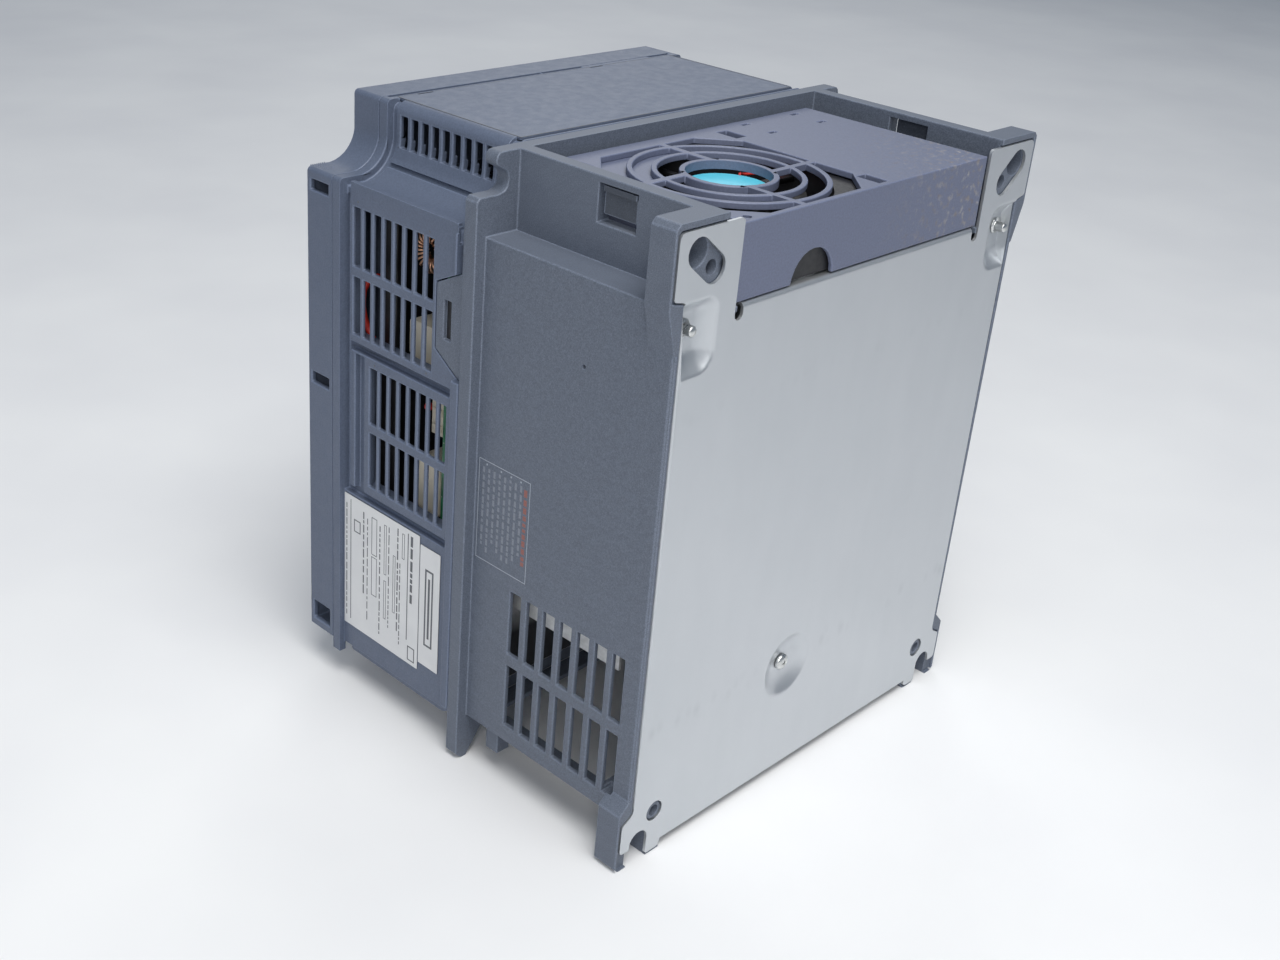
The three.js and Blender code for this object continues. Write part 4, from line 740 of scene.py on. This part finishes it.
def bake_rounding(piece, bevel):
    """Works the rounding into the mesh and fills the flats again."""
    bake(piece, bevel)
    bm = bmesh.new()
    bm.from_mesh(piece.data)
    refill_flats(bm)
    bm.to_mesh(piece.data)
    bm.free()


def rounded_node(name, slot, width, segments):
    """Shown piece that stands for a CAD node, with its sharp edges rounded."""
    bm = clean_shape(name)
    number_flats(bm)
    bm.verts.index_update()
    weights = bm.edges.layers.float.new("bevel_weight_edge")
    for edge, room in edge_room(bm).items():
        weight = min(1.0, ROOM_SHARE * room / width)
        if weight > LEAST_WEIGHT:
            edge[weights] = weight
        else:
            edge.smooth = False
    piece = stand_in(bm, f"{name}_shape", name, slot, OWN_MATERIALS.get(name))
    piece.data.materials.append(EDGE_WEAR_AND_HIGHLIGHT.get(slot, SLOT_MATERIALS[slot]))
    bevel = piece.modifiers.new("round", "BEVEL")
    bevel.limit_method = "WEIGHT"
    bevel.width = width
    bevel.segments = segments
    bevel.use_clamp_overlap = False
    # The rounded edges take the lighter edge copy: partly wear, partly painted highlight
    bevel.material = 1
    if name in WIDE_FLATS:
        bake_rounding(piece, bevel)
    weigh_normals(piece, keep_sharp=True)


EDGE_WIDTHS = {"housing": 0.6 * MM, "rear_case": 0.5 * MM, "fan_cover": 0.45 * MM}
SMALL_EDGE = 0.25 * MM
OWN_SHAPE = {
    "back_plate", "plate_screw_right", "plate_screw_left", "plate_screw_low", "fan_hub_label", "fan_lead",
}


def dress_cad_nodes():
    """Rounded stand-ins for every CAD node without a shape of its own here."""
    slots = {row["node"]: row["material_slot"] for row in frame["record"]["subparts"]}
    for name in NODES:
        slot = slots[name]
        if name not in OWN_SHAPE:
            rounded_node(name, slot, EDGE_WIDTHS.get(slot, SMALL_EDGE), 3 if slot in EDGE_WIDTHS else 2)


# ---- Steel plate and screws ----
SHEET = 1.2
REAR = 97.5
TAB_INNER = 76
LIP = {"x": 71.6, "z": 226, "bend": 1.8, "front": 90}
POCKET = {"floor_x": 92, "slope_x": 7, "z0": 213, "z1": 226, "slope_low": 8, "slope_high": 6, "depth": 4.7}
DISH = {"x": 13.8, "z": 55.5, "r": 14, "floor_r": 5, "depth": 3.7}
POCKET_SCREW = (97.4, 221.5)
TAB_SLOT = {"start": (89.6, 242), "end": (98, 248.8), "r": 5.5}
FOOT_HOLE = {"x": 90, "z": 20.5, "r": 4.4}
SCREW_HOLE_R = 2
PLATE_GRID = 0.8
LOOP_GAP = 0.6


def arc(x, z, r, start, end, steps=10):
    """Points on a circle from one angle to another, in degrees."""
    angles = [math.radians(start + (end - start) * k / steps) for k in range(steps + 1)]
    return [(x + r * math.cos(a), z + r * math.sin(a)) for a in angles]


def rounded_corners(points, steps=5):
    """Outline whose corner (x, z, r) is rounded by a curve that starts r before it and ends r after it."""
    out = []
    for index, (x, z, r) in enumerate(points):
        if r == 0:
            out.append((x, z))
            continue
        corner = Vector((x, z))
        before = Vector(points[index - 1][:2]) - corner
        after = Vector(points[(index + 1) % len(points)][:2]) - corner
        start = corner + before.normalized() * r
        end = corner + after.normalized() * r
        for k in range(steps + 1):
            t = k / steps
            out.append(tuple(start * (1 - t) ** 2 + corner * 2 * t * (1 - t) + end * t ** 2))
    return out


def plate_outline():
    foot = [(84.8, 4.3, 0), (84.8, 1.0, 2.5), (93, 1.0, 1.2)]
    notch = [(x, z, 0) for x, z in arc(98, 9.5, 5, 180, 0)]
    side = [
        (103, 8, 0.4), (108.2, 8, 2), (108.2, 21.6, 1.2), (102.2, 25, 2.5), (102.2, 232.6, 1.5),
        (108.2, 234, 1.2), (108.2, 257, 3), (TAB_INNER, 257, 2),
    ]
    relief = [(x, z, 0) for x, z in arc(73.8, 222.4, 2.2, 0, -180)]
    right = [*foot, *notch, *side, *relief, (LIP["x"], LIP["z"] - LIP["bend"], 0)]
    left = [(-x, z, r) for x, z, r in reversed(right)]
    return rounded_corners([*right, *left])


def slot_outline(sign, start, end, r):
    (x0, z0), (x1, z1) = start, end
    angle = math.degrees(math.atan2(z1 - z0, x1 - x0))
    shape = arc(x1, z1, r, angle - 90, angle + 90) + arc(x0, z0, r, angle + 90, angle + 270)
    return [(sign * x, z) for x, z in shape]


def plate_holes():
    """Closed loops of the screw holes, and of the tab slots and foot holes for the case's spigots."""
    holes = [arc(DISH["x"], DISH["z"], SCREW_HOLE_R, 0, 342, 19)]
    for sign in (1, -1):
        holes.append(slot_outline(sign, **TAB_SLOT))
        holes.append(arc(sign * FOOT_HOLE["x"], FOOT_HOLE["z"], FOOT_HOLE["r"], 0, 345, 23))
        holes.append(arc(sign * POCKET_SCREW[0], POCKET_SCREW[1], SCREW_HOLE_R, 0, 342, 19))
    return holes


def bowl(away):
    """Share of the full depth: level on the floor, with a crisp rim where away reaches 1."""
    return 1 - min(1.0, max(0.0, away)) ** 1.7


def pressed_depth(x, z):
    """How deep the sheet is pressed in at a point: two pockets for the upper screws and one dish."""
    across = max(0.0, (POCKET["floor_x"] - abs(x)) / POCKET["slope_x"])
    above = (z - POCKET["z1"]) / POCKET["slope_high"]
    below = (POCKET["z0"] - z) / POCKET["slope_low"]
    away = math.hypot(across, max(0.0, above, below))
    from_dish = (math.hypot(x - DISH["x"], z - DISH["z"]) - DISH["floor_r"]) / (DISH["r"] - DISH["floor_r"])
    return max(POCKET["depth"] * bowl(away), DISH["depth"] * bowl(from_dish))


def inside(point, loop):
    """Whether a point lies within a closed loop, by counting the sides to its right."""
    x, z = point
    crossings = 0
    for (x0, z0), (x1, z1) in zip(loop, loop[1:] + loop[:1]):
        if (z0 > z) != (z1 > z) and x < x0 + (x1 - x0) * (z - z0) / (z1 - z0):
            crossings += 1
    return crossings % 2 == 1


def on_sheet(point, outline, holes):
    return inside(point, outline) and not any(inside(point, hole) for hole in holes)


def near_loop(point, loop):
    for start, end in zip(loop, loop[1:] + loop[:1]):
        _, share = geometry.intersect_point_line(Vector(point), Vector(start), Vector(end))
        share = max(0.0, min(1.0, share))
        nearest = Vector(start).lerp(Vector(end), share)
        if (nearest - Vector(point)).length < LOOP_GAP:
            return True
    return False


def grid_points(x0, x1, z0, z1):
    across = math.ceil((x1 - x0) / PLATE_GRID)
    up = math.ceil((z1 - z0) / PLATE_GRID)
    return [
        (x0 + (x1 - x0) * i / across, z0 + (z1 - z0) * j / up)
        for i in range(across + 1) for j in range(up + 1)
    ]


def sheet_surface(bm):
    """Rear face of the plate as one pressed surface with its holes left open."""
    outline = plate_outline()
    holes = plate_holes()
    loops = [outline, *holes]
    points = [p for loop in loops for p in loop]
    edges = []
    start = 0
    for loop in loops:
        edges += [(start + k, start + (k + 1) % len(loop)) for k in range(len(loop))]
        start += len(loop)
    fills = grid_points(81, 101.8, 201, 234)
    fills += [(-x, z) for x, z in fills]
    fills += grid_points(DISH["x"] - 15, DISH["x"] + 15, DISH["z"] - 15, DISH["z"] + 15)
    for point in fills:
        if on_sheet(point, outline, holes) and not any(near_loop(point, loop) for loop in loops):
            points.append(point)
    flat = geometry.delaunay_2d_cdt([Vector(p) for p in points], edges, [], 0, 1e-5)
    verts = [bm.verts.new((x * MM, (REAR - pressed_depth(x, z)) * MM, z * MM)) for x, z in flat[0]]
    for face in flat[2]:
        corners = [flat[0][index] for index in face]
        centre = sum(corners, Vector((0, 0))) / len(corners)
        if on_sheet(centre, outline, holes):
            bm.faces.new([verts[index] for index in face])
    return verts


def rolled_lip(bm, verts):
    """Top edge of the sheet, folded forwards over the case."""
    edge_z = LIP["z"] - LIP["bend"]
    start = [
        next(v for v in verts if abs(v.co.x - x * MM) < 1e-6 and abs(v.co.z - edge_z * MM) < 1e-6)
        for x in (LIP["x"], -LIP["x"])
    ]
    bend = arc(REAR - LIP["bend"], edge_z, LIP["bend"], 0, 90, 8)[1:]
    for y, z in [*bend, (LIP["front"], LIP["z"])]:
        row = [bm.verts.new((vert.co.x, y * MM, z * MM)) for vert in start]
        bm.faces.new((start[0], start[1], row[1], row[0]))
        start = row


def make_plate():
    bm = bmesh.new()
    verts = sheet_surface(bm)
    rolled_lip(bm, verts)
    bmesh.ops.delete(bm, geom=[v for v in bm.verts if not v.link_faces], context="VERTS")
    face_outwards(bm)
    if sum(face.normal.y * face.calc_area() for face in bm.faces) < 0:
        bmesh.ops.reverse_faces(bm, faces=bm.faces)
    plate = stand_in(bm, "pressed_plate", "back_plate", "steel_plate")
    thickness = plate.modifiers.new("thickness", "SOLIDIFY")
    thickness.thickness = SHEET * MM
    thickness.offset = -1
    thickness.use_even_offset = True
    add_bevel(plate, 0.22 * MM, 2, 50)


def recess_cutter(x, y, z, arm, half):
    """Cross-shaped wedge that narrows towards its tip, to cut a screw's recess."""
    bm = bmesh.new()
    for across, up in ((arm, half), (half, arm)):
        corners = add_slab(bm, (x - across, y - 1.5, z - up), (x + across, y + 3, z + up))
        for vert in corners:
            if vert.co.y < y * MM:
                vert.co.x = (x + (vert.co.x / MM - x) * 0.45) * MM
                vert.co.z = (z + (vert.co.z / MM - z) * 0.45) * MM
    return loose_object(bm, "recess")


def pan_screw(node, x, z, seat, tip):
    """Domed pan-head screw along Y with a pressed washer face, cross recess and plain shank."""
    bm = bmesh.new()
    profile = [
        (0, tip), (0.9, tip), (1.5, tip + 1), (1.5, seat), (3.3, seat), (3.5, seat + 0.25),
        (3.5, seat + 0.75), (3.3, seat + 1.25), (2.8, seat + 1.7), (2.0, seat + 2.05),
        (1.0, seat + 2.25), (0, seat + 2.3),
    ]
    add_lathe(bm, profile, (x, 0, z), "Y", 40)
    face_outwards(bm)
    screw = stand_in(bm, f"{node}_shape", node, "zinc")
    subtract(screw, recess_cutter(x, seat + 1.8, z, 1.9, 0.42))
    add_bevel(screw, 0.08 * MM, 1, 40)


def stud_screw(node, x, z, seat, tip):
    """Screw driven from inside: a thin collar on the sheet and a threaded end that stands out of it."""
    bm = bmesh.new()
    profile = [(0, tip), (1.5, tip), (1.5, seat), (3.3, seat), (3.4, seat + 0.2), (3.2, seat + 0.5)]
    turn = seat + 0.5
    while turn < REAR - 0.4:
        profile += [(1.75, turn), (2.0, turn + 0.25)]
        turn += 0.5
    profile += [(1.7, turn), (1.5, turn + 0.35), (0, turn + 0.45)]
    add_lathe(bm, profile, (x, 0, z), "Y", 40)
    face_outwards(bm)
    stand_in(bm, f"{node}_shape", node, "zinc")


def make_screws():
    for side, sign in SIDES:
        stud_screw(f"plate_screw_{side}", sign * POCKET_SCREW[0], POCKET_SCREW[1], 93.0, 80)
    pan_screw("plate_screw_low", DISH["x"], DISH["z"], 94.1, 87)


# ---- Fan ----
FAN = (33.4, 55)
HUB_TOP = 249.4


def make_hub_label():
    bm = bmesh.new()
    base = HUB_TOP + 0.25
    profile = [
        (0, base), (15.6, base), (15.75, base + 0.12), (15.6, base + 0.3), (14.9, base + 0.36),
        (0, base + 0.36),
    ]
    add_lathe(bm, profile, (*FAN, 0), "Z", 96)
    face_outwards(bm)
    label = stand_in(bm, "hub_disc", "fan_hub_label", "cyan_label")
    add_bevel(label, 0.03 * MM, 1, 30)


LEAD_ROUTE = [
    (-7.8, 62, 249), (-14, 60, 248.4), (-24, 54, 247), (-32, 45, 245), (-36, 40, 241), (-36, 40, 238.6),
]
STRAND_GAP = 0.72


def make_fan_lead():
    """Two insulated strands twisted together from the fan frame to its plug."""
    path = smooth_path(LEAD_ROUTE, 12)
    for name, phase, slot in (("fan_strand_red", 0, "red_wire"), ("fan_strand_black", math.pi, "rubber")):
        strand = []
        for index, point in enumerate(path):
            ahead = (path[min(index + 1, len(path) - 1)] - path[max(index - 1, 0)]).normalized()
            side = ahead.cross(Vector((0.3, 0.2, 1))).normalized()
            up = side.cross(ahead)
            angle = phase + index * 0.55
            strand.append(point + (side * math.cos(angle) + up * math.sin(angle)) * STRAND_GAP)
        bm = bmesh.new()
        add_tube(bm, strand, 0.66)
        stand_in(bm, name, "fan_lead", slot)


HUB_WIRE = [
    (19.4, 48.9, 250.15), (18.0, 48.1, 250.3), (16.6, 47.2, 249.8), (13.5, 46.6, 248.9), (8, 48.5, 248.8),
    (0, 52.2, 248.8), (-5.2, 53.4, 248.8),
]


def make_hub_wire():
    """Red lead that leaves the hub under the label's edge and follows a strut out to the frame."""
    bm = bmesh.new()
    add_tube(bm, smooth_path(HUB_WIRE, 8), 0.55)
    add_piece(bm, "hub_wire", "red_wire", NODES["fan_frame"]["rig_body"])


# ---- Printed surfaces, with plain marks in place of any text, and painted shade in the vent pin dimples ----
INK_HEIGHT = 0.05
LABEL_FACE = 107.8
REAR_WALL = 105


def print_marks(name, face_x, marks, ink, node, slot):
    """Thin ink on a side wall: each mark is (y0, y1, z0, z1) in mm."""
    slabs = [((face_x - INK_HEIGHT, y0, z0), (face_x + INK_HEIGHT, y1, z1)) for y0, y1, z0, z1 in marks]
    slab_piece(name, slot, slabs, NODES[node]["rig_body"], material=ink)


def box_marks(y0, y1, z0, z1, line):
    """Empty rectangle as four bars."""
    return [
        (y0, y1, z0, z0 + line), (y0, y1, z1 - line, z1),
        (y0, y0 + line, z0 + line, z1 - line), (y1 - line, y1, z0 + line, z1 - line),
    ]


def dashes(chance, y, z0, z1, width, longest=5.0):
    """Row of bars of uneven length along Z."""
    marks = []
    z = z1
    while z - 1.2 > z0:
        end = max(z0, z - chance.uniform(1.2, longest))
        marks.append((y - width / 2, y + width / 2, end, z))
        z = end - chance.uniform(0.6, 1.3)
    return marks


def print_nameplate():
    chance = random.Random(7)
    marks = [(-70.2, -69.8, 33, 92.5), (-32.0, -31.5, 41, 92.5)]
    for box_edges in (
        (-35.6, -34.0, 79, 91, 0.25), (-55.8, -52.2, 72, 90, 0.3), (-55.8, -52.2, 52, 71, 0.3),
        (-47.4, -45.8, 66, 90, 0.25), (-47.4, -45.8, 44, 63, 0.25), (-41.4, -39.8, 50, 78, 0.25),
        (-31, -26.4, 31.5, 38.5, 0.5), (-67.8, -63.4, 78, 84, 0.5),
    ):
        marks += box_marks(*box_edges)
    for y, z0, z1, width in (
        (-72.8, 34, 90, 0.5), (-61.2, 50, 90, 0.7), (-58.6, 36, 88, 0.5), (-50.2, 34, 88, 0.6),
        (-44.2, 40, 90, 0.5), (-38.4, 42, 92, 0.7), (-36.8, 36, 76, 0.5), (-29.4, 60, 92, 1.4),
    ):
        marks += dashes(chance, y, z0, z1, width)
    print_marks("nameplate_print", LABEL_FACE, marks, DARK_INK, "nameplate", "label")


def print_sticker():
    marks = box_marks(-20.6, -15.4, 44, 81, 0.9)
    marks += [(-18.6, -17.4, 48, 77)]
    print_marks("sticker_print", LABEL_FACE, marks, DARK_INK, "side_sticker", "label")


def print_rear_wall():
    chance = random.Random(11)
    outline = box_marks(6.1, 34.6, 98.4, 142, 0.28)
    dots = [(y - 0.35, y + 0.35, 140.1, 140.8) for y in (10.5, 18.5, 24, 29.4)]
    print_marks("wall_print_outline", REAR_WALL, outline + dots, PALE_INK, "rear_case", "rear_case")
    columns = []
    for index in range(8):
        y = 8.9 + index * 2.97
        columns += dashes(chance, y, 102 + chance.uniform(0, 6), 139, 1.1, 3.2)
    print_marks("wall_print_columns", REAR_WALL, columns, FAINT_INK, "rear_case", "rear_case")
    heading = dashes(chance, 32.2, 104.8, 138.2, 1.7, 3.0)
    print_marks("wall_print_heading", REAR_WALL, heading, RED_INK, "rear_case", "rear_case")


def paint_pin_dimple_shade():
    """Painted shade of the small round pin dimples at the corners of the vent blocks, as tiny dots in dark
    ink.
    """
    bm = bmesh.new()
    for y, z in ((-66.6, 224.4), (-23.7, 224.3), (-55.4, 159.2), (-23.7, 167)):
        profile = [(0, 107.4), (0.5, 107.4), (0.5, 107.5), (0.35, 107.56), (0, 107.58)]
        add_lathe(bm, profile, (0, y, z), "X", 16)
    face_outwards(bm)
    add_piece(bm, "vent_corner_pin_shade", "housing", material=DARK_INK)


# ---- Seams and small mouldings ----
SEAM = 0.45
LUG_SLOT = {"x0": 105.55, "x1": 105.8, "y0": -14.3, "y1": -10.5, "z0": 184.5, "z1": 200.3}
GRIP = {"x0": 101.4, "y0": -96.2, "z": 232, "columns": 8, "rows": 9, "pitch": 0.95, "height": 0.38}


def make_grips():
    """Patch of small diamond studs on each shoulder of the front cover."""
    half = GRIP["pitch"] * 0.48
    for side, sign in SIDES:
        bm = bmesh.new()
        for row in range(GRIP["rows"]):
            for column in range(GRIP["columns"]):
                x = GRIP["x0"] + (column + 0.5 * (row % 2)) * GRIP["pitch"]
                y = GRIP["y0"] + row * GRIP["pitch"]
                base = [(x + half, y), (x, y + half), (x - half, y), (x, y - half)]
                foot = [bm.verts.new((sign * u * MM, v * MM, (GRIP["z"] - 0.1) * MM)) for u, v in base]
                tip = bm.verts.new((sign * x * MM, y * MM, (GRIP["z"] + GRIP["height"]) * MM))
                bm.faces.new(foot)
                for k in range(4):
                    bm.faces.new((foot[k], foot[(k + 1) % 4], tip))
        face_outwards(bm)
        add_piece(bm, f"cover_grip_{side}", "housing", "cover", smooth=False)


def paint_lug_slot_shade():
    """Painted shade: a thin black sheet on the floor of the narrow slot in each side lug of the rear case,
    where the slot lies in shade.
    """
    for side, sign in SIDES:
        x0, x1 = sorted((sign * LUG_SLOT["x0"], sign * LUG_SLOT["x1"]))
        floor = ((x0, LUG_SLOT["y0"], LUG_SLOT["z0"]), (x1, LUG_SLOT["y1"], LUG_SLOT["z1"]))
        slab_piece(f"lug_slot_{side}", "black_plastic", [floor])


def make_panel_seam():
    """Dark line of the seam round the top panel."""
    xs, ys, zs = zip(*(Vector(corner) / MM for corner in NODES["top_panel"].bound_box))
    lines = box_marks(min(xs), max(xs), min(ys), max(ys), SEAM)
    slabs = [((x0, y0, max(zs) - 0.05), (x1, y1, max(zs) + 0.03)) for x0, x1, y0, y1 in lines]
    slab_piece("panel_seam", "housing", slabs, NODES["top_panel"]["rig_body"], material=DARK_INK)


# ---- Keypad ----
KEY_TOP = -97.5
DIGIT = {
    "x": 8.5, "pitch": 14, "y": -96.32, "z": 190, "lean": 0.08,
    "width": 8, "height": 15, "line": 1.5, "end": 0.9,
}


def digit_bar(bm, x0, x1, z0, z1):
    low = (x0, DIGIT["y"] - INK_HEIGHT, z0)
    return add_slab(bm, low, (x1, DIGIT["y"] + INK_HEIGHT, z1))


def make_digits():
    """Four unlit seven-bar digits behind the keypad window."""
    bm = bmesh.new()
    width, height, end, half = DIGIT["width"], DIGIT["height"], DIGIT["end"], DIGIT["line"] / 2
    made = []
    for index in range(4):
        x = DIGIT["x"] + index * DIGIT["pitch"]
        z = DIGIT["z"] - height / 2
        for bar_z in (z, z + height / 2, z + height):
            made += digit_bar(bm, x + end, x + width - end, bar_z - half, bar_z + half)
        for bar_x in (x, x + width):
            for low in (z, z + height / 2):
                made += digit_bar(bm, bar_x - half, bar_x + half, low + end, low + height / 2 - end)
        made += digit_bar(bm, x + width + 2, x + width + 3.4, z - half, z + half)
    for vert in made:
        vert.co.x += (vert.co.z - DIGIT["z"] * MM) * DIGIT["lean"]
    add_piece(bm, "window_digits", "display", "keypad", smooth=False, material=GHOST_RED)


def arrow(bm, x, z, size, up):
    """Flat triangular arrow on a key's face."""
    flip = 1 if up else -1
    corners = [(-size, -size * 0.7 * flip), (size, -size * 0.7 * flip), (0, size * flip)]
    low = [bm.verts.new(((x + u) * MM, (KEY_TOP + INK_HEIGHT) * MM, (z + v) * MM)) for u, v in corners]
    high = [bm.verts.new(((x + u) * MM, (KEY_TOP - INK_HEIGHT) * MM, (z + v) * MM)) for u, v in corners]
    bm.faces.new(low)
    bm.faces.new(high)
    for k in range(3):
        bm.faces.new((low[k], low[(k + 1) % 3], high[(k + 1) % 3], high[k]))


def make_key_marks():
    for name, z, up in (("key_up", 150, True), ("key_down", 125, False)):
        bm = bmesh.new()
        arrow(bm, 34, z, 2.2, up)
        face_outwards(bm)
        body = NODES[name]["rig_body"]
        add_piece(bm, f"{name}_mark", "key_grey", body, smooth=False, material=DARK_INK)


def make_keypad_board():
    slab_piece("keypad_board", "board", [((0, -89.9, 119), (68, -88.4, 213))], "keypad", 0.3)
    chips = [
        ((x, -88.5, z), (x + wide, -86.6, z + tall))
        for x, z, wide, tall in ((20, 150, 12, 12), (44, 140, 8, 5), (30, 180, 14, 6), (50, 170, 6, 10))
    ]
    slab_piece("keypad_chips", "black_plastic", chips, "keypad", 0.2)


# ---- Parts inside ----
def screw_heads(name, places, r, height):
    """Slotted screw heads that face the front, each at (x, y of its seat, z)."""
    bm = bmesh.new()
    cutter_bm = bmesh.new()
    groove = r * 0.14
    for x, y, z in places:
        profile = [(0, y + 0.4), (r, y + 0.4), (r, y - height * 0.6), (r * 0.8, y - height), (0, y - height)]
        add_lathe(bm, profile, (x, 0, z), "Y", 24)
        low = (x - r * 1.1, y - height - 1, z - groove)
        add_slab(cutter_bm, low, (x + r * 1.1, y - height * 0.5, z + groove))
    face_outwards(bm)
    heads = add_piece(bm, name, "zinc")
    subtract(heads, loose_object(cutter_bm, "slots"))
    add_bevel(heads, 0.1 * MM, 1, 40)


def make_terminal_screws():
    poles = [-76.5 + index * 17 for index in range(10)]
    plates = [((x - 5.6, -51.2, 36), (x + 5.6, -49.9, 48)) for x in poles]
    slab_piece("terminal_plates", "zinc", plates, bevel=0.3, segments=2)
    screw_heads("terminal_screws", [(x, -51.1, 42) for x in poles], 4.2, 3.0)
    screw_heads("control_screws", [(-60.8 + k * 6.4, -78.2, 78) for k in range(20)], 1.9, 0.9)


CAPACITORS = {"x": (-76, -44, -12, 20), "z": 199}
SCORE = {"half": 0.3, "reach": 8, "floor": -60.75}


def make_capacitor_lids():
    """Aluminium ends of the four large capacitors with a scored vent."""
    bm = bmesh.new()
    cutter_bm = bmesh.new()
    profile = [(0, -60.2), (13.2, -60.2), (13.2, -61.0), (12.4, -61.3), (11.8, -60.9), (0, -60.9)]
    z = CAPACITORS["z"]
    for x in CAPACITORS["x"]:
        add_lathe(bm, profile, (x, 0, z), "Y", 40)
        for wide, tall in ((SCORE["reach"], SCORE["half"]), (SCORE["half"], SCORE["reach"])):
            add_slab(cutter_bm, (x - wide, -62, z - tall), (x + wide, SCORE["floor"], z + tall))
    face_outwards(bm)
    lids = add_piece(bm, "capacitor_lids", "aluminium")
    subtract(lids, loose_object(cutter_bm, "scores"))
    add_bevel(lids, 0.08 * MM, 1, 40)


def make_board_parts():
    """Chips and small parts scattered over the control board's front face."""
    chance = random.Random(5)
    kept_clear = [
        (-85, 88, -63, 110), (20, 154, 48, 178), (69, 112, 87, 128), (-94, 66, 94, 86), (-84, 70, -74, 92),
    ]
    chips = []
    for x, z, wide, tall, high in (
        (-30, 120, 26, 26, 2.4), (12, 128, 14, 9, 1.8), (-4, 100, 10, 16, 1.8), (50, 98, 8, 12, 1.6),
        (-66, 132, 9, 14, 1.8), (54, 140, 12, 7, 1.6),
    ):
        chips.append(((x, -70 - high, z), (x + wide, -69.9, z + tall)))
        kept_clear.append((x - 1, z - 1, x + wide + 1, z + tall + 1))
    slab_piece("board_chips", "black_plastic", chips, bevel=0.2)
    resistors, ceramics = [], []
    for index in range(150):
        x, z = chance.uniform(-88, 86), chance.uniform(88, 192)
        if any(x0 - 3 < x < x1 and z0 - 3 < z < z1 for x0, z0, x1, z1 in kept_clear):
            continue
        wide, tall = chance.choice(((2.0, 1.2), (1.2, 2.0), (3.2, 1.6)))
        kind = ceramics if index % 3 else resistors
        kind.append(((x, -70.8, z), (x + wide, -69.9, z + tall)))
        kept_clear.append((x, z, x + wide, z + tall))
    slab_piece("board_resistors", "zinc", resistors)
    slab_piece("board_ceramics", "tape", ceramics)


CHOKE = {"centre": (91.5, -40.5, 209), "r": 6.2, "core_r": 2.0, "coil_r": 2.7, "wire_r": 0.5}


def make_choke():
    """Toroidal choke on the power board's edge, wound with copper wire."""
    centre = Vector(CHOKE["centre"])
    core = bmesh.new()
    angles = [k * math.pi / 20 for k in range(41)]
    ring = [centre + Vector((0, math.cos(a), math.sin(a))) * CHOKE["r"] for a in angles]
    add_tube(core, ring, CHOKE["core_r"], 12)
    add_piece(core, "choke_core", "black_plastic")
    bm = bmesh.new()
    wire = []
    turns, steps = 18, 12
    for k in range(turns * steps + 1):
        around = 0.35 + k / (turns * steps) * 5.6
        turn = 2 * math.pi * k / steps
        outward = Vector((0, math.cos(around), math.sin(around)))
        sideways = Vector((CHOKE["coil_r"] * math.sin(turn), 0, 0))
        wire.append(centre + outward * (CHOKE["r"] + CHOKE["coil_r"] * math.cos(turn)) + sideways)
    add_tube(bm, wire, CHOKE["wire_r"], 8)
    for z in (205.5, 212.5):
        add_tube(bm, [(91.5, y, z) for y in (-33.0, -29, -25.8)], CHOKE["wire_r"], 8)
    add_piece(bm, "choke_winding", "copper")


def make_edge_parts():
    """Small parts at the power board's edge that show through the side vents."""
    beads = bmesh.new()
    for y, z, r in ((-31.5, 151, 2.3), (-38.5, 143.5, 1.8), (-32, 139.5, 1.6)):
        profile = [(0, 91.2), (r * 0.7, 91.4), (r, 92.4), (r, 93.2), (r * 0.7, 94.2), (0, 94.4)]
        add_lathe(beads, profile, (0, y, z), "X", 20)
        add_tube(beads, [(92.8, y + r * 0.6, z), (92.8, -25.9, z)], 0.35, 8)
    face_outwards(beads)
    add_piece(beads, "red_capacitors", "red_wire")
    plug = [((89, -34.5, 134), (94.5, -25.9, 149))]
    plug += [((94.4, -33.5, z), (95.2, -28, z + 3)) for z in (136, 143)]
    slab_piece("edge_plug", "cream", plug, bevel=0.3, segments=2)


# ---- Assembly ----
make_camera()
make_studio()
make_floor()
dress_cad_nodes()
make_plate()
make_screws()
make_hub_label()
make_fan_lead()
make_hub_wire()
print_nameplate()
print_sticker()
print_rear_wall()
paint_pin_dimple_shade()
paint_lug_slot_shade()
make_panel_seam()
make_grips()
make_digits()
make_key_marks()
make_keypad_board()
make_terminal_screws()
make_capacitor_lids()
make_board_parts()
make_choke()
make_edge_parts()
